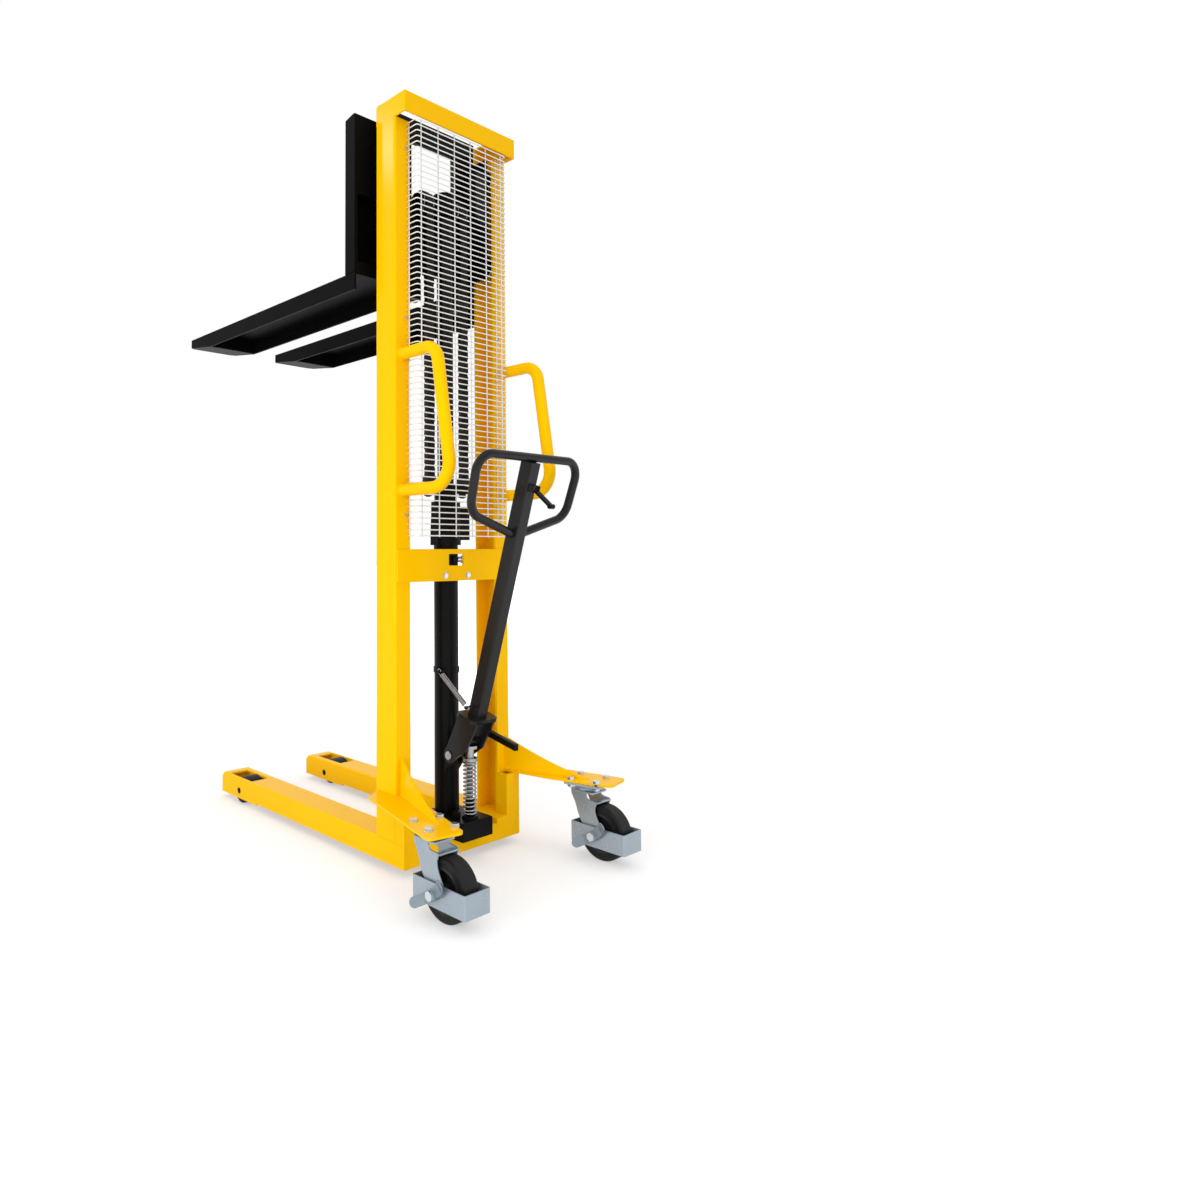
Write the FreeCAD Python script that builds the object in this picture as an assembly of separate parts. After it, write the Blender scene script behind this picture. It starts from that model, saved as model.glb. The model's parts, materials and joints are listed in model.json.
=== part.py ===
import FreeCAD, Part
import math
import os

V = FreeCAD.Vector

# Hand pallet stacker, millimetres. While it is drawn, Y 0 is the rear face of the mast columns,
# X 0 the middle of the machine and Z 0 the floor. Forks point to +Y, the operator stands at -Y.
# At the end everything is shifted so that the origin lies under the middle of the whole machine.

# Mast
mast_width = 420.0
mast_height = 2000.0
column_depth = 80.0
column_flange = 50.0
column_web = 6.0
flange_thickness = 8.0
column_root_radius = 6.0
column_edge_radius = 6.0
beam_height = 56.0
beam_overhang = 40.0
beam_wall = 5.0
beam_lip = 46.0
beam_edge_radius = 4.0
cross_plate_bottom = 726.0
cross_plate_height = 85.0
cross_plate_thickness = 6.0
cross_plate_inset = 4.0
cross_window_width = 56.0
cross_window_height = 31.0
cross_window_bottom = 767.0
cross_window_radius = 3.0

# Support legs and base
ground_clearance = 22.0
leg_height = 59.0
leg_width = 90.0
leg_wall = 6.0
leg_reach = 895.0
leg_nose = 14.0
leg_edge_radius = 4.0
cheek_drop = 5.0
cheek_length = 217.0
base_overhang = 34.0
base_front = 70.0
base_member_height = 44.0
base_wall = 6.0
load_roller_diameter = 80.0
load_roller_width = 58.0
load_roller_setback = 110.0
load_roller_edge = 3.0
load_axle_diameter = 20.0
roller_cutout_length = 136.0
roller_cutout_side_gap = 2.0
roller_cutout_outer_margin = 7.0
axle_head_thickness = 5.0
axle_head_diameter = 28.0
spacer_wall = 6.0

# Caster brackets
bracket_plate_bottom = 190.0
bracket_plate_thickness = 6.0
bracket_front_reach = 70.0
bracket_shoulder_out = 58.0
bracket_shoulder_reach = 35.0
bracket_tail_out = 148.0
bracket_tail_reach = 285.0
bracket_inner_tail_out = 56.0
bracket_inner_tail_reach = 303.0
bracket_inner_step_reach = 138.0
bracket_inner_step_out = 2.0
bracket_root_width = 26.0
bracket_corner_radius = 14.0
web_rise = 92.0
web_length = 245.0
web_thickness = 6.0
web_hollow = 8.0
web_splay = 20.0
web_root_inset = 16.0
bracket_bolt_across = 66.0
bracket_bolt_along = 72.0
bracket_splay = 14.0

# Casters
caster_out = 70.0
swivel_reach = 220.0
caster_trail = 52.0
wheel_diameter = 140.0
wheel_width = 46.0
tyre_inner_diameter = 100.0
tyre_shoulder = 7.0
hub_width = 50.0
hub_barrel_diameter = 34.0
hub_web = 10.0
hub_rim = 6.0
caster_axle_diameter = 12.0
caster_plate_thickness = 5.0
caster_plate_length = 104.0
caster_plate_width = 92.0
race_diameter = 72.0
race_height = 14.0
race_gap = 0.3
king_pin_diameter = 16.0
crown_thickness = 5.0
crown_width = 66.0
crown_length = 74.0
caster_leg_thickness = 4.0
caster_leg_gap = 56.0
caster_leg_boss = 17.0
caster_leg_rear = 11.0
guard_width = 78.0
guard_front = 83.0
guard_rear = 85.0
guard_height = 52.0
guard_bottom = 36.0
guard_wall = 3.0
guard_corner_radius = 5.0
brake_thickness = 4.0
brake_standoff = 12.0
brake_boss_diameter = 26.0
brake_wing_reach = 43.0
brake_wing_width = 22.0
brake_wing_tilt = 47.0
brake_lip = 18.0
caster_nut_across = 20.0
caster_nut_height = 10.0

# Side handles
handle_diameter = 32.0
handle_top = 1316.0
handle_bottom = 962.0
handle_top_reach = 133.0
handle_bottom_reach = 186.0
handle_top_bend = 46.0
handle_bottom_bend = 60.0
handle_flange_inset = 23.0

# Wire guard
wire = 3.2
guard_depth = 42.0
guard_half_width = 170.0
guard_low = 844.0
guard_pitch = 15.14
guard_top_gap = 6.0
guard_upright_pitch = 60.4
guard_uprights = 6
guard_clip_width = 14.0
guard_clip_thickness = 2.5
guard_clip_height_shares = (0.04, 0.52, 0.93)

# Lift cylinder and pump
cylinder_reach = 36.0
cylinder_diameter = 66.0
cylinder_bore = 52.0
cylinder_floor = 10.0
cylinder_top = 842.0
rod_diameter = 45.0
rod_end_height = 865.0
head_bottom = 822.0
head_height = 118.0
head_half_width = 43.0
head_top_half_width = 38.0
head_taper_height = 40.0
head_depth = 30.0
head_collar_diameter = 80.0
port_block_out = 77.0
port_block_drop = 12.0
port_block_height = 92.0
neck_diameter = 62.0
yoke_rise = 24.0
yoke_height = 22.0
yoke_half_width = 80.0
yoke_depth = 28.0
pump_half_width = 56.0
pump_rear = 82.0
pump_front = 74.0
pump_height = 46.0
pump_edge_radius = 5.0
plunger_reach = 52.0
plunger_diameter = 16.0
plunger_low = 116.0
plunger_cap_bottom = 258.0
plunger_cap_thickness = 8.0
plunger_cap_diameter = 40.0
plunger_tip_diameter = 22.0
plunger_tip_height = 32.0
guide_wall = 3.5
guide_height = 50.0
valve_out = 25.0
valve_reach = 28.0
valve_across = 18.0
valve_height = 15.0
valve_link_diameter = 4.0
valve_link_length = 100.0
clamp_strap = 5.0
clamp_height = 24.0
clamp_foot_height_share = 0.17
clamp_bolt_spacing = 84.0
clamp_foot = 16.0
plug_across = 17.0
plug_height = 7.0
plug_boss_diameter = 24.0

# Springs
plunger_spring_wire = 5.0
plunger_spring_diameter = 36.0
plunger_spring_turns = 13
return_spring_wire = 2.4
return_spring_diameter = 14.0
return_spring_turns = 16
return_spring_hook = 10.0
return_spring_out = 45.0
collar_height = 486.0
collar_width = 14.0
collar_wall = 2.5
collar_stud_diameter = 8.0
hook_stud_rise = 26.0

# Lift chain and its sheaves
chain_out = 64.0
chain_plate_height = 15.0
chain_width = 28.0
chain_pitch = 19.05
chain_waist = 2.0
sheave_root_radius = 20.1
sheave_flange_radius = 31.0
sheave_flange = 3.5
sheave_reach = 58.0
sheave_drop = 234.0
sheave_side_gap = 0.6
chain_gap = 0.4
sheave_shaft_diameter = 20.0
shaft_overhang = 6.0
crosshead_height = 62.0
crosshead_diameter = 64.0
crosshead_arm_width = 76.0
crosshead_eye_diameter = 46.0
anchor_stud_diameter = 12.0
anchor_clevis_height = 20.0
anchor_clevis_width = 34.0
anchor_clevis_front = 6.0
anchor_stud_rise = 2.0
nut_across = 19.0
nut_height = 10.0

# Forks and carriage
fork_drop = 218.0
fork_spread = 516.0
fork_width = 175.0
fork_depth = 48.0
fork_plate = 6.0
fork_reach = 1080.0
fork_tip_length = 150.0
fork_tip_depth = 27.0
fork_tip_chamfer = 16.0
fork_edge_radius = 4.0
shank_front = 152.0
shank_width = 118.0
shank_depth = 42.0
shank_height = 432.0
shank_wall = 10.0
shank_pocket_bottom = 30.0
shank_pocket_height = 185.0
shank_crest = 7.0
back_plate_thickness = 12.0
back_plate_half_width = 180.0
back_plate_rise = 477.0
back_plate_tongue_half_width = 112.0
tongue_drop = 46.0
back_plate_foot = 2.0
notch_half_width = 46.0
notch_rise = 40.0
window_half_width = 94.0
window_bottom_rise = 242.0
window_top_rise = 410.0
window_radius = 42.0
carrier_thickness = 12.0
carrier_inner = 140.0
carrier_bottom_rise = 42.0
carrier_top_rise = 390.0
carrier_tail = 14.0
carrier_corner = 12.0
mast_roller_diameter = 62.0
mast_roller_width = 34.0
mast_roller_edge = 3.0
mast_roller_web_gap = 6.0
roller_pin_diameter = 24.0
lower_roller_rise = 84.0
upper_roller_rise = 340.0
lug_height = 34.0
lug_width = 34.0
lug_drop = 44.0

# Tiller
pivot_reach = 8.0
pivot_height = 268.0
pivot_diameter = 16.0
tiller_lean = 16.5
tiller_offset = 40.0
tiller_width = 34.0
tiller_depth = 38.0
tiller_wall = 3.0
tiller_start = 118.0
tiller_top = 801.0
loop_diameter = 22.0
loop_top_half_width = 187.0
loop_corner_half_width = 176.0
loop_corner_height = 655.0
loop_root_height = 606.0
loop_top_bend = 46.0
loop_corner_bend = 50.0
rocker_plate = 6.0
rocker_gap = 54.0
rocker_eye_radius = 20.0
rocker_flange_half_width = 46.0
rocker_flange_half_depth = 34.0
rocker_flange = 10.0
rocker_flange_radius = 12.0
rocker_roller_diameter = 18.0
rocker_roller_gap = 0.4
lug_thickness = 9.0
pivot_lug_radius = 17.0
pivot_gusset = 52.0
pedal_bar_width = 18.0
pedal_bar_height = 16.0
pedal_root = 62.0
pedal_edge_radius = 3.0
pedal_reach = 178.0
pedal_root_rise = 65.0
pedal_drop = 26.0
lever_drop = 73.0
lever_length = 70.0
lever_width = 16.0
lever_thickness = 6.0
lever_droop = 24.0
lever_pin_diameter = 8.0
lever_ear = 9.0
lever_ear_thickness = 4.0

# Fasteners
bolt_across = 17.0
bolt_head = 7.0
bolt_diameter = 10.0
small_bolt_across = 13.0
small_bolt_head = 5.0

# Clearances
running_clearance = 0.05
seat_clearance = 0.3
cut_overrun = 5.0

# Worked out from the sizes above
half_mast = mast_width / 2
leg_top = ground_clearance + leg_height
column_top = mast_height - beam_height
leg_inner = half_mast - leg_width
load_roller_reach = leg_reach - load_roller_setback
base_top = ground_clearance + base_member_height
pump_top = base_top + pump_height
caster_x = half_mast + caster_out
axle_reach = swivel_reach + caster_trail
axle_height = wheel_diameter / 2
guard_rows = int((column_top - guard_top_gap - guard_low) / guard_pitch) + 1
sheave_height = mast_height - sheave_drop
fork_top = sheave_height - fork_drop
lower_roller_height = fork_top + lower_roller_rise
upper_roller_height = fork_top + upper_roller_rise
lug_bottom = fork_top - lug_drop
lever_height = tiller_top - lever_drop
fork_outer = fork_spread / 2
fork_inner = fork_outer - fork_width
shank_inner = fork_outer - shank_width
fork_rear = shank_front - shank_depth
back_plate_rear = fork_rear - back_plate_thickness
head_top = head_bottom + head_height
yoke_top = head_top + yoke_rise + yoke_height
chain_radius = sheave_root_radius + chain_gap + chain_plate_height / 2
chain_rear_reach = sheave_reach - chain_radius
chain_front_reach = sheave_reach + chain_radius
anchor_top = yoke_top + anchor_stud_rise + anchor_clevis_height
rear_reach = axle_reach + guard_rear
frame_shift = V(0, (rear_reach - fork_reach) / 2, 0)
tiller_up = V(0, -math.sin(math.radians(tiller_lean)), math.cos(math.radians(tiller_lean)))
tiller_back = V(0, -math.cos(math.radians(tiller_lean)), -math.sin(math.radians(tiller_lean)))
tiller_root = V(0, -pivot_reach - tiller_offset, pivot_height)
pedal_root_height = pivot_height + pedal_root_rise
roller_axis_height = (plunger_cap_bottom + plunger_cap_thickness + plunger_tip_height
                      + rocker_roller_gap + rocker_roller_diameter / 2)


# Shape helpers

def box(low, high):
    """A rectangular block between two corners."""
    size = high - low
    return Part.makeBox(size.x, size.y, size.z, low)


def prism(points, along):
    """A flat outline, closed and carried along a vector."""
    return Part.Face(Part.makePolygon(points + [points[0]])).extrude(along)


def profile_x(outline, start, end):
    """An outline of (y, z) points carried along X."""
    return prism([V(start, y, z) for y, z in outline], V(end - start, 0, 0))


def profile_y(outline, start, end):
    """An outline of (x, z) points carried along Y."""
    return prism([V(x, start, z) for x, z in outline], V(0, end - start, 0))


def profile_z(outline, start, end):
    """An outline of (x, y) points carried along Z."""
    return prism([V(x, y, start) for x, y in outline], V(0, 0, end - start))


def drum(diameter, start, end):
    """A round bar between two points."""
    run = end - start
    return Part.makeCylinder(diameter / 2, run.Length, start, run)


def hexagon(across, start, end):
    """A hexagonal bar, as a bolt head or nut, between two points."""
    run = end - start
    axis = V(run).normalize()
    side = axis.cross(V(1, 0, 0))
    if side.Length < axis.cross(V(0, 1, 0)).Length:
        side = axis.cross(V(0, 1, 0))
    side.normalize()
    other = axis.cross(side)
    corner = across / math.sqrt(3)
    points = []
    for step in range(6):
        angle = math.radians(60 * step)
        points.append(start + side * corner * math.cos(angle) + other * corner * math.sin(angle))
    return prism(points, run)


def rounded(shape, radius, chosen):
    """Round the edges that a test picks."""
    edges = [edge for edge in shape.Edges if chosen(edge)]
    return shape.makeFillet(radius, edges)


def runs_along(edge, axis):
    """Whether an edge is straight and lies along an axis."""
    if len(edge.Vertexes) < 2 or edge.Curve.TypeId != "Part::GeomLine":
        return False
    run = edge.Vertexes[1].Point - edge.Vertexes[0].Point
    return run.cross(axis).Length < run.Length * angle_tolerance_share


angle_tolerance_share = 0.001


def near(value, target):
    """Whether a place is the wanted one, for picking edges."""
    return abs(value - target) < running_clearance


def mirrored(shape):
    """The same piece on the other side of the machine."""
    return shape.mirror(V(0, 0, 0), V(1, 0, 0))


def bent_path(corners, bends):
    """Straight runs joined by tangent arcs at the inner corners."""
    edges = []
    last = corners[0]
    for before, corner, after, bend in zip(corners, corners[1:], corners[2:], bends):
        inward = V(before - corner).normalize()
        outward = V(after - corner).normalize()
        turn = inward.getAngle(outward)
        reach = bend / math.tan(turn / 2)
        start = corner + inward * reach
        end = corner + outward * reach
        middle = V(inward + outward).normalize()
        apex = corner + middle * (bend / math.sin(turn / 2) - bend)
        edges.append(Part.LineSegment(last, start).toShape())
        edges.append(Part.Arc(start, apex, end).toShape())
        last = end
    edges.append(Part.LineSegment(last, corners[-1]).toShape())
    return Part.Wire(edges)


def swept_round(path, diameter):
    """A round bar carried along a path."""
    first = path.Edges[0]
    start = first.valueAt(first.FirstParameter)
    run = first.tangentAt(first.FirstParameter)
    circle = Part.Wire(Part.makeCircle(diameter / 2, start, run))
    return path.makePipeShell([circle], True, False)


def biarc(start, start_run, end, end_run):
    """Two arcs that leave start along one direction and reach end along another."""
    gap = end - start
    both = start_run + end_run
    a = 2 * (1 - start_run.dot(end_run))
    b = 2 * gap.dot(both)
    c = -gap.dot(gap)
    reach = (-b + math.sqrt(b * b - 4 * a * c)) / (2 * a)
    first = start + start_run * reach
    last = end - end_run * reach
    joint = (first + last) / 2
    arcs = []
    for left, corner, right in ((start, first, joint), (joint, last, end)):
        inward = V(left - corner).normalize()
        outward = V(right - corner).normalize()
        turn = inward.getAngle(outward)
        bend = reach * math.tan(turn / 2)
        apex = corner + V(inward + outward).normalize() * (bend / math.sin(turn / 2) - bend)
        arcs.append(Part.Arc(left, apex, right).toShape())
    return arcs


def coil(base, axis, side, length, diameter, wire_diameter, turns, hook, label):
    """One unbroken spring: a helix of biarcs, a quarter turn each, between straight ends.

    With a hook length the ends turn in to the axis and run along it, otherwise they stay tangent.
    """
    radius = (diameter - wire_diameter) / 2
    other = axis.cross(side)
    quarters = 4 * turns
    rise = (length - wire_diameter) / quarters

    def place(step):
        angle = math.radians(90 * step)
        around = side * math.cos(angle) + other * math.sin(angle)
        return base + axis * (wire_diameter / 2 + rise * step) + around * radius

    def heading(step):
        angle = math.radians(90 * step)
        around = other * math.cos(angle) - side * math.sin(angle)
        return V(around * radius * math.pi / 2 + axis * rise).normalize()

    if hook > 0:
        run = axis
        start = base - axis * hook
        entry = start + axis * wire_diameter
        exit_point = base + axis * (length + hook - wire_diameter)
        edges = [Part.LineSegment(start, entry).toShape()]
        edges += biarc(entry, axis, place(0), heading(0))
    else:
        run = heading(0)
        start = place(0) - run * wire_diameter
        edges = [Part.LineSegment(start, place(0)).toShape()]
    for step in range(quarters):
        edges += biarc(place(step), heading(step), place(step + 1), heading(step + 1))
    tail = place(quarters)
    if hook > 0:
        edges += biarc(tail, heading(quarters), exit_point, axis)
        edges.append(Part.LineSegment(exit_point, exit_point + axis * wire_diameter).toShape())
    else:
        edges.append(Part.LineSegment(tail, tail + heading(quarters) * wire_diameter).toShape())
    pitch_gap = min((place(step + 4) - place(step)).Length for step in range(quarters - 3))
    print(label, "least gap to itself", round(pitch_gap - wire_diameter, 2), "mm")
    path = Part.Wire(edges)
    across = V(side - run * side.dot(run)).normalize()
    beside = run.cross(across)
    corners = []
    for step in range(6):
        angle = math.radians(60 * step)
        corners.append(start + (across * math.cos(angle) + beside * math.sin(angle)) * wire_diameter / 2)
    section = Part.makePolygon(corners + [corners[0]])
    return path.makePipeShell([section], True, False)


pieces = {}


def keep(name, *solids):
    """Remember a piece, one solid or a group, under its node name."""
    found = []
    for solid in solids:
        found += solid.Solids
    pieces[name] = found[0] if len(found) == 1 else Part.makeCompound(found)


def keep_pair(name, solid):
    """Remember a right-hand piece and its mirror image as two nodes."""
    keep(name + "_right", solid)
    keep(name + "_left", mirrored(solid))


# Mast columns: rolled channels that open towards each other

def column():
    outer = box(V(half_mast - column_flange, 0, leg_top), V(half_mast, column_depth, column_top))
    inner = box(V(half_mast - column_flange - cut_overrun, flange_thickness, leg_top - cut_overrun),
                V(half_mast - column_web, column_depth - flange_thickness, column_top + cut_overrun))
    inner = rounded(inner, column_root_radius,
                    lambda edge: runs_along(edge, V(0, 0, 1)) and edge.Vertexes[0].X > half_mast - column_flange)
    outer = rounded(outer, column_edge_radius,
                    lambda edge: runs_along(edge, V(0, 0, 1)) and near(edge.Vertexes[0].X, half_mast))
    return outer.cut(inner)


# Top beam: a folded cap over both columns, only a rear fascia with a lip between them

def top_beam():
    cap = box(V(-half_mast, -beam_overhang, column_top), V(half_mast, column_depth, mast_height))
    cap = rounded(cap, beam_edge_radius,
                  lambda edge: runs_along(edge, V(0, 0, 1)) or edge.BoundBox.ZMin > column_top + beam_wall)
    hollow = box(V(-half_mast + beam_wall, -beam_overhang + beam_wall, column_top - cut_overrun),
                 V(half_mast - beam_wall, column_depth - beam_wall, mast_height - beam_wall))
    gap = half_mast - column_flange
    passage = box(V(-gap, -beam_overhang + beam_lip, column_top - cut_overrun),
                  V(gap, column_depth + cut_overrun, mast_height + cut_overrun))
    return cap.cut(hollow).cut(passage)


# Cross plate behind the columns, with a window and two bolt holes

def cross_plate():
    half = half_mast - cross_plate_inset
    plate = box(V(-half, -cross_plate_thickness, cross_plate_bottom),
                V(half, 0, cross_plate_bottom + cross_plate_height))
    plate = rounded(plate, cross_window_radius, lambda edge: runs_along(edge, V(0, 1, 0)))
    window = box(V(-cross_window_width / 2, -cross_plate_thickness - cut_overrun, cross_window_bottom),
                 V(cross_window_width / 2, cut_overrun, cross_window_bottom + cross_window_height))
    window = rounded(window, cross_window_radius, lambda edge: runs_along(edge, V(0, 1, 0)))
    plate = plate.cut(window)
    for side in (-1, 1):
        x = side * clamp_bolt_spacing / 2
        plate = plate.cut(drum(bolt_diameter + 2 * running_clearance,
                               V(x, -cross_plate_thickness - cut_overrun, clamp_level),
                               V(x, cut_overrun, clamp_level)))
    return plate


clamp_level = cross_plate_bottom + cross_plate_height * clamp_foot_height_share


# Support legs: folded channels with a cutout over the load roller

def roller_middle():
    return half_mast - roller_cutout_outer_margin - roller_cutout_side_gap - load_roller_width / 2


def support_leg():
    cheek_start = leg_reach - cheek_length
    side_outline = [(-base_overhang, ground_clearance), (-base_overhang, leg_top),
                    (leg_reach - leg_nose, leg_top), (leg_reach, leg_top - leg_nose),
                    (leg_reach, ground_clearance - cheek_drop),
                    (cheek_start, ground_clearance - cheek_drop),
                    (cheek_start - cheek_drop, ground_clearance)]
    leg = profile_x(side_outline, leg_inner, half_mast)
    leg = rounded(leg, leg_edge_radius,
                  lambda edge: runs_along(edge, V(0, 1, 0)) and edge.BoundBox.ZMin > leg_top - leg_wall)
    hollow = box(V(leg_inner + leg_wall, -base_overhang + leg_wall, ground_clearance - cheek_drop - cut_overrun),
                 V(half_mast - leg_wall, leg_reach - leg_nose - leg_wall, leg_top - leg_wall))
    leg = leg.cut(hollow)
    cutout_half = load_roller_width / 2 + roller_cutout_side_gap
    cutout = box(V(roller_middle() - cutout_half, load_roller_reach - roller_cutout_length / 2,
                   leg_top - leg_wall - cut_overrun),
                 V(roller_middle() + cutout_half, load_roller_reach + roller_cutout_length / 2,
                   leg_top + cut_overrun))
    bore = drum(load_axle_diameter, V(leg_inner - cut_overrun, load_roller_reach, load_roller_diameter / 2),
                V(half_mast + cut_overrun, load_roller_reach, load_roller_diameter / 2))
    return leg.cut(cutout).cut(bore)


def load_axle():
    height = load_roller_diameter / 2
    axle = drum(load_axle_diameter, V(leg_inner - axle_head_thickness, load_roller_reach, height),
                V(half_mast + axle_head_thickness, load_roller_reach, height))
    for start, end in ((half_mast, half_mast + axle_head_thickness),
                       (leg_inner - axle_head_thickness, leg_inner)):
        axle = axle.fuse(drum(axle_head_diameter, V(start, load_roller_reach, height),
                              V(end, load_roller_reach, height)))
    inner_face = roller_middle() - load_roller_width / 2
    outer_face = roller_middle() + load_roller_width / 2
    spacer = load_axle_diameter + 2 * spacer_wall
    for start, end in ((leg_inner + leg_wall, inner_face - seat_clearance),
                       (outer_face + seat_clearance, half_mast - leg_wall)):
        axle = axle.fuse(drum(spacer, V(start, load_roller_reach, height), V(end, load_roller_reach, height)))
    return axle.removeSplitter()


def barrel_roller(radius, bore_radius, width, edge, middle, axis):
    """A plain roller with rounded edges and a through bore, turned about its axis."""
    roller = Part.makeCylinder(radius, width, middle - axis * width / 2, axis)
    roller = rounded(roller, edge, lambda rim: rim.Curve.TypeId == "Part::GeomCircle")
    bore = Part.makeCylinder(bore_radius, width + 2 * cut_overrun,
                             middle - axis * (width / 2 + cut_overrun), axis)
    return roller.cut(bore)


# Base member between the legs and the shoes behind the columns

def base_member():
    outer = box(V(-leg_inner, -base_overhang, ground_clearance), V(leg_inner, base_front, base_top))
    outer = rounded(outer, leg_edge_radius,
                    lambda edge: runs_along(edge, V(1, 0, 0)) and edge.BoundBox.ZMin > base_top - base_wall)
    hollow = box(V(-leg_inner - cut_overrun, -base_overhang + base_wall, ground_clearance - cut_overrun),
                 V(leg_inner + cut_overrun, base_front - base_wall, base_top - base_wall))
    return outer.cut(hollow)


def column_shoe():
    outer = box(V(half_mast - column_flange, -base_overhang, leg_top),
                V(half_mast, 0, bracket_plate_bottom))
    hollow = box(V(half_mast - column_flange + base_wall, -base_overhang + base_wall, leg_top - cut_overrun),
                 V(half_mast - base_wall, cut_overrun, bracket_plate_bottom + cut_overrun))
    return outer.cut(hollow)


# Caster bracket: a splayed plate with a triangular web, welded to the column

def bracket_bolts():
    """Bolt places in the plan of the right caster plate."""
    turn = math.radians(bracket_splay)
    along = V(math.sin(turn), -math.cos(turn), 0)
    across = V(math.cos(turn), math.sin(turn), 0)
    middle = V(caster_x, -swivel_reach, 0)
    return [middle + along * bracket_bolt_along / 2 * i + across * bracket_bolt_across / 2 * j
            for i in (-1, 1) for j in (-1, 1)]


def caster_bracket():
    low = bracket_plate_bottom
    high = low + bracket_plate_thickness
    outline = [(half_mast, bracket_front_reach),
               (half_mast + bracket_shoulder_out, bracket_shoulder_reach),
               (half_mast + bracket_tail_out, -bracket_tail_reach),
               (half_mast + bracket_inner_tail_out, -bracket_inner_tail_reach),
               (half_mast + bracket_inner_step_out, -bracket_inner_step_reach),
               (half_mast - bracket_root_width, 0), (half_mast, 0)]
    plate = profile_z(outline, low, high)
    plate = rounded(plate, bracket_corner_radius,
                    lambda edge: runs_along(edge, V(0, 0, 1)) and edge.Vertexes[0].Y < -bracket_inner_step_reach
                    - bracket_corner_radius)
    for place in bracket_bolts():
        plate = plate.cut(drum(bolt_diameter, V(place.x, place.y, low - cut_overrun),
                               V(place.x, place.y, high + cut_overrun)))
    turn = math.radians(web_splay)
    along = V(math.sin(turn), -math.cos(turn), 0)
    across = V(math.cos(turn), math.sin(turn), 0)
    root = V(half_mast - web_root_inset - web_thickness, 0, high)
    tail = root + along * web_length
    crest = root + V(0, 0, web_rise)
    slope = V(crest - tail).normalize()
    hollow = (tail + crest) / 2 - V(across.cross(slope)).normalize() * web_hollow
    edges = [Part.LineSegment(root, tail).toShape(), Part.Arc(tail, hollow, crest).toShape(),
             Part.LineSegment(crest, root).toShape()]
    web = Part.Face(Part.Wire(edges)).extrude(across * web_thickness)
    web = web.common(box(V(0, -bracket_tail_reach - web_length, high),
                         V(mast_width, 0, high + web_rise)))
    return plate.fuse(web).removeSplitter()


# Caster pieces, drawn on the right-hand caster

def caster_top_plate():
    turn = math.radians(bracket_splay)
    along = V(math.sin(turn), -math.cos(turn), 0)
    across = V(math.cos(turn), math.sin(turn), 0)
    middle = V(caster_x, -swivel_reach, bracket_plate_bottom - caster_plate_thickness)
    corners = []
    for i, j in ((-1, -1), (-1, 1), (1, 1), (1, -1)):
        corners.append(middle + along * caster_plate_length / 2 * i + across * caster_plate_width / 2 * j)
    plate = prism(corners, V(0, 0, caster_plate_thickness))
    plate = rounded(plate, guard_corner_radius, lambda edge: runs_along(edge, V(0, 0, 1)))
    bore = Part.makeCylinder(king_pin_diameter / 2 + running_clearance,
                             caster_plate_thickness + 2 * cut_overrun, middle - V(0, 0, cut_overrun))
    plate = plate.cut(bore)
    for place in bracket_bolts():
        start = V(place.x, place.y, middle.z - cut_overrun)
        plate = plate.cut(drum(bolt_diameter, start, V(place.x, place.y, bracket_plate_bottom + cut_overrun)))
    return plate


race_top = bracket_plate_bottom - caster_plate_thickness - race_gap
crown_top = race_top - race_height


def caster_fork():
    centre = V(caster_x, -swivel_reach, 0)
    crown = box(centre + V(-crown_width / 2, -crown_length / 2, crown_top - crown_thickness),
                centre + V(crown_width / 2, crown_length / 2, crown_top))
    crown = rounded(crown, guard_corner_radius, lambda edge: runs_along(edge, V(0, 0, 1)))
    race_low = centre + V(0, 0, crown_top)
    race = Part.makeCone(crown_width / 2, race_diameter / 2, race_height / 2, race_low)
    race = race.fuse(Part.makeCone(race_diameter / 2, crown_width / 2, race_height / 2,
                                   race_low + V(0, 0, race_height / 2)))
    pin = drum(king_pin_diameter, race_low, centre + V(0, 0, bracket_plate_bottom - race_gap))
    fork = crown.fuse(race).fuse(pin)
    outline = [(-swivel_reach + crown_length / 2, crown_top),
               (-swivel_reach + crown_length / 2, crown_top - crown_thickness),
               (-axle_reach + caster_leg_boss, axle_height),
               (-axle_reach, axle_height - caster_leg_boss),
               (-axle_reach - caster_leg_boss, axle_height),
               (-swivel_reach - caster_leg_rear, crown_top - crown_thickness),
               (-swivel_reach - caster_leg_rear, crown_top)]
    for side in (-1, 1):
        inner = caster_x + side * caster_leg_gap / 2
        outer = inner + side * caster_leg_thickness
        leg = profile_x(outline, inner, outer)
        round_end = drum(2 * caster_leg_boss, V(inner, -axle_reach, axle_height),
                         V(outer, -axle_reach, axle_height))
        fork = fork.fuse(leg).fuse(round_end)
    bore = drum(caster_axle_diameter, V(caster_x - crown_width, -axle_reach, axle_height),
                V(caster_x + crown_width, -axle_reach, axle_height))
    return fork.cut(bore).removeSplitter()


def caster_guard():
    low = V(caster_x - guard_width / 2, -axle_reach - guard_rear, guard_bottom)
    high = V(caster_x + guard_width / 2, -axle_reach + guard_front, guard_bottom + guard_height)
    outer = rounded(box(low, high), guard_corner_radius, lambda edge: runs_along(edge, V(0, 0, 1)))
    wall = V(guard_wall, guard_wall, -cut_overrun)
    inner = rounded(box(low + wall, high - wall), guard_corner_radius - guard_wall,
                    lambda edge: runs_along(edge, V(0, 0, 1)))
    bore = drum(caster_axle_diameter, V(caster_x - guard_width, -axle_reach, axle_height),
                V(caster_x + guard_width, -axle_reach, axle_height))
    return outer.cut(inner).cut(bore)


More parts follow.
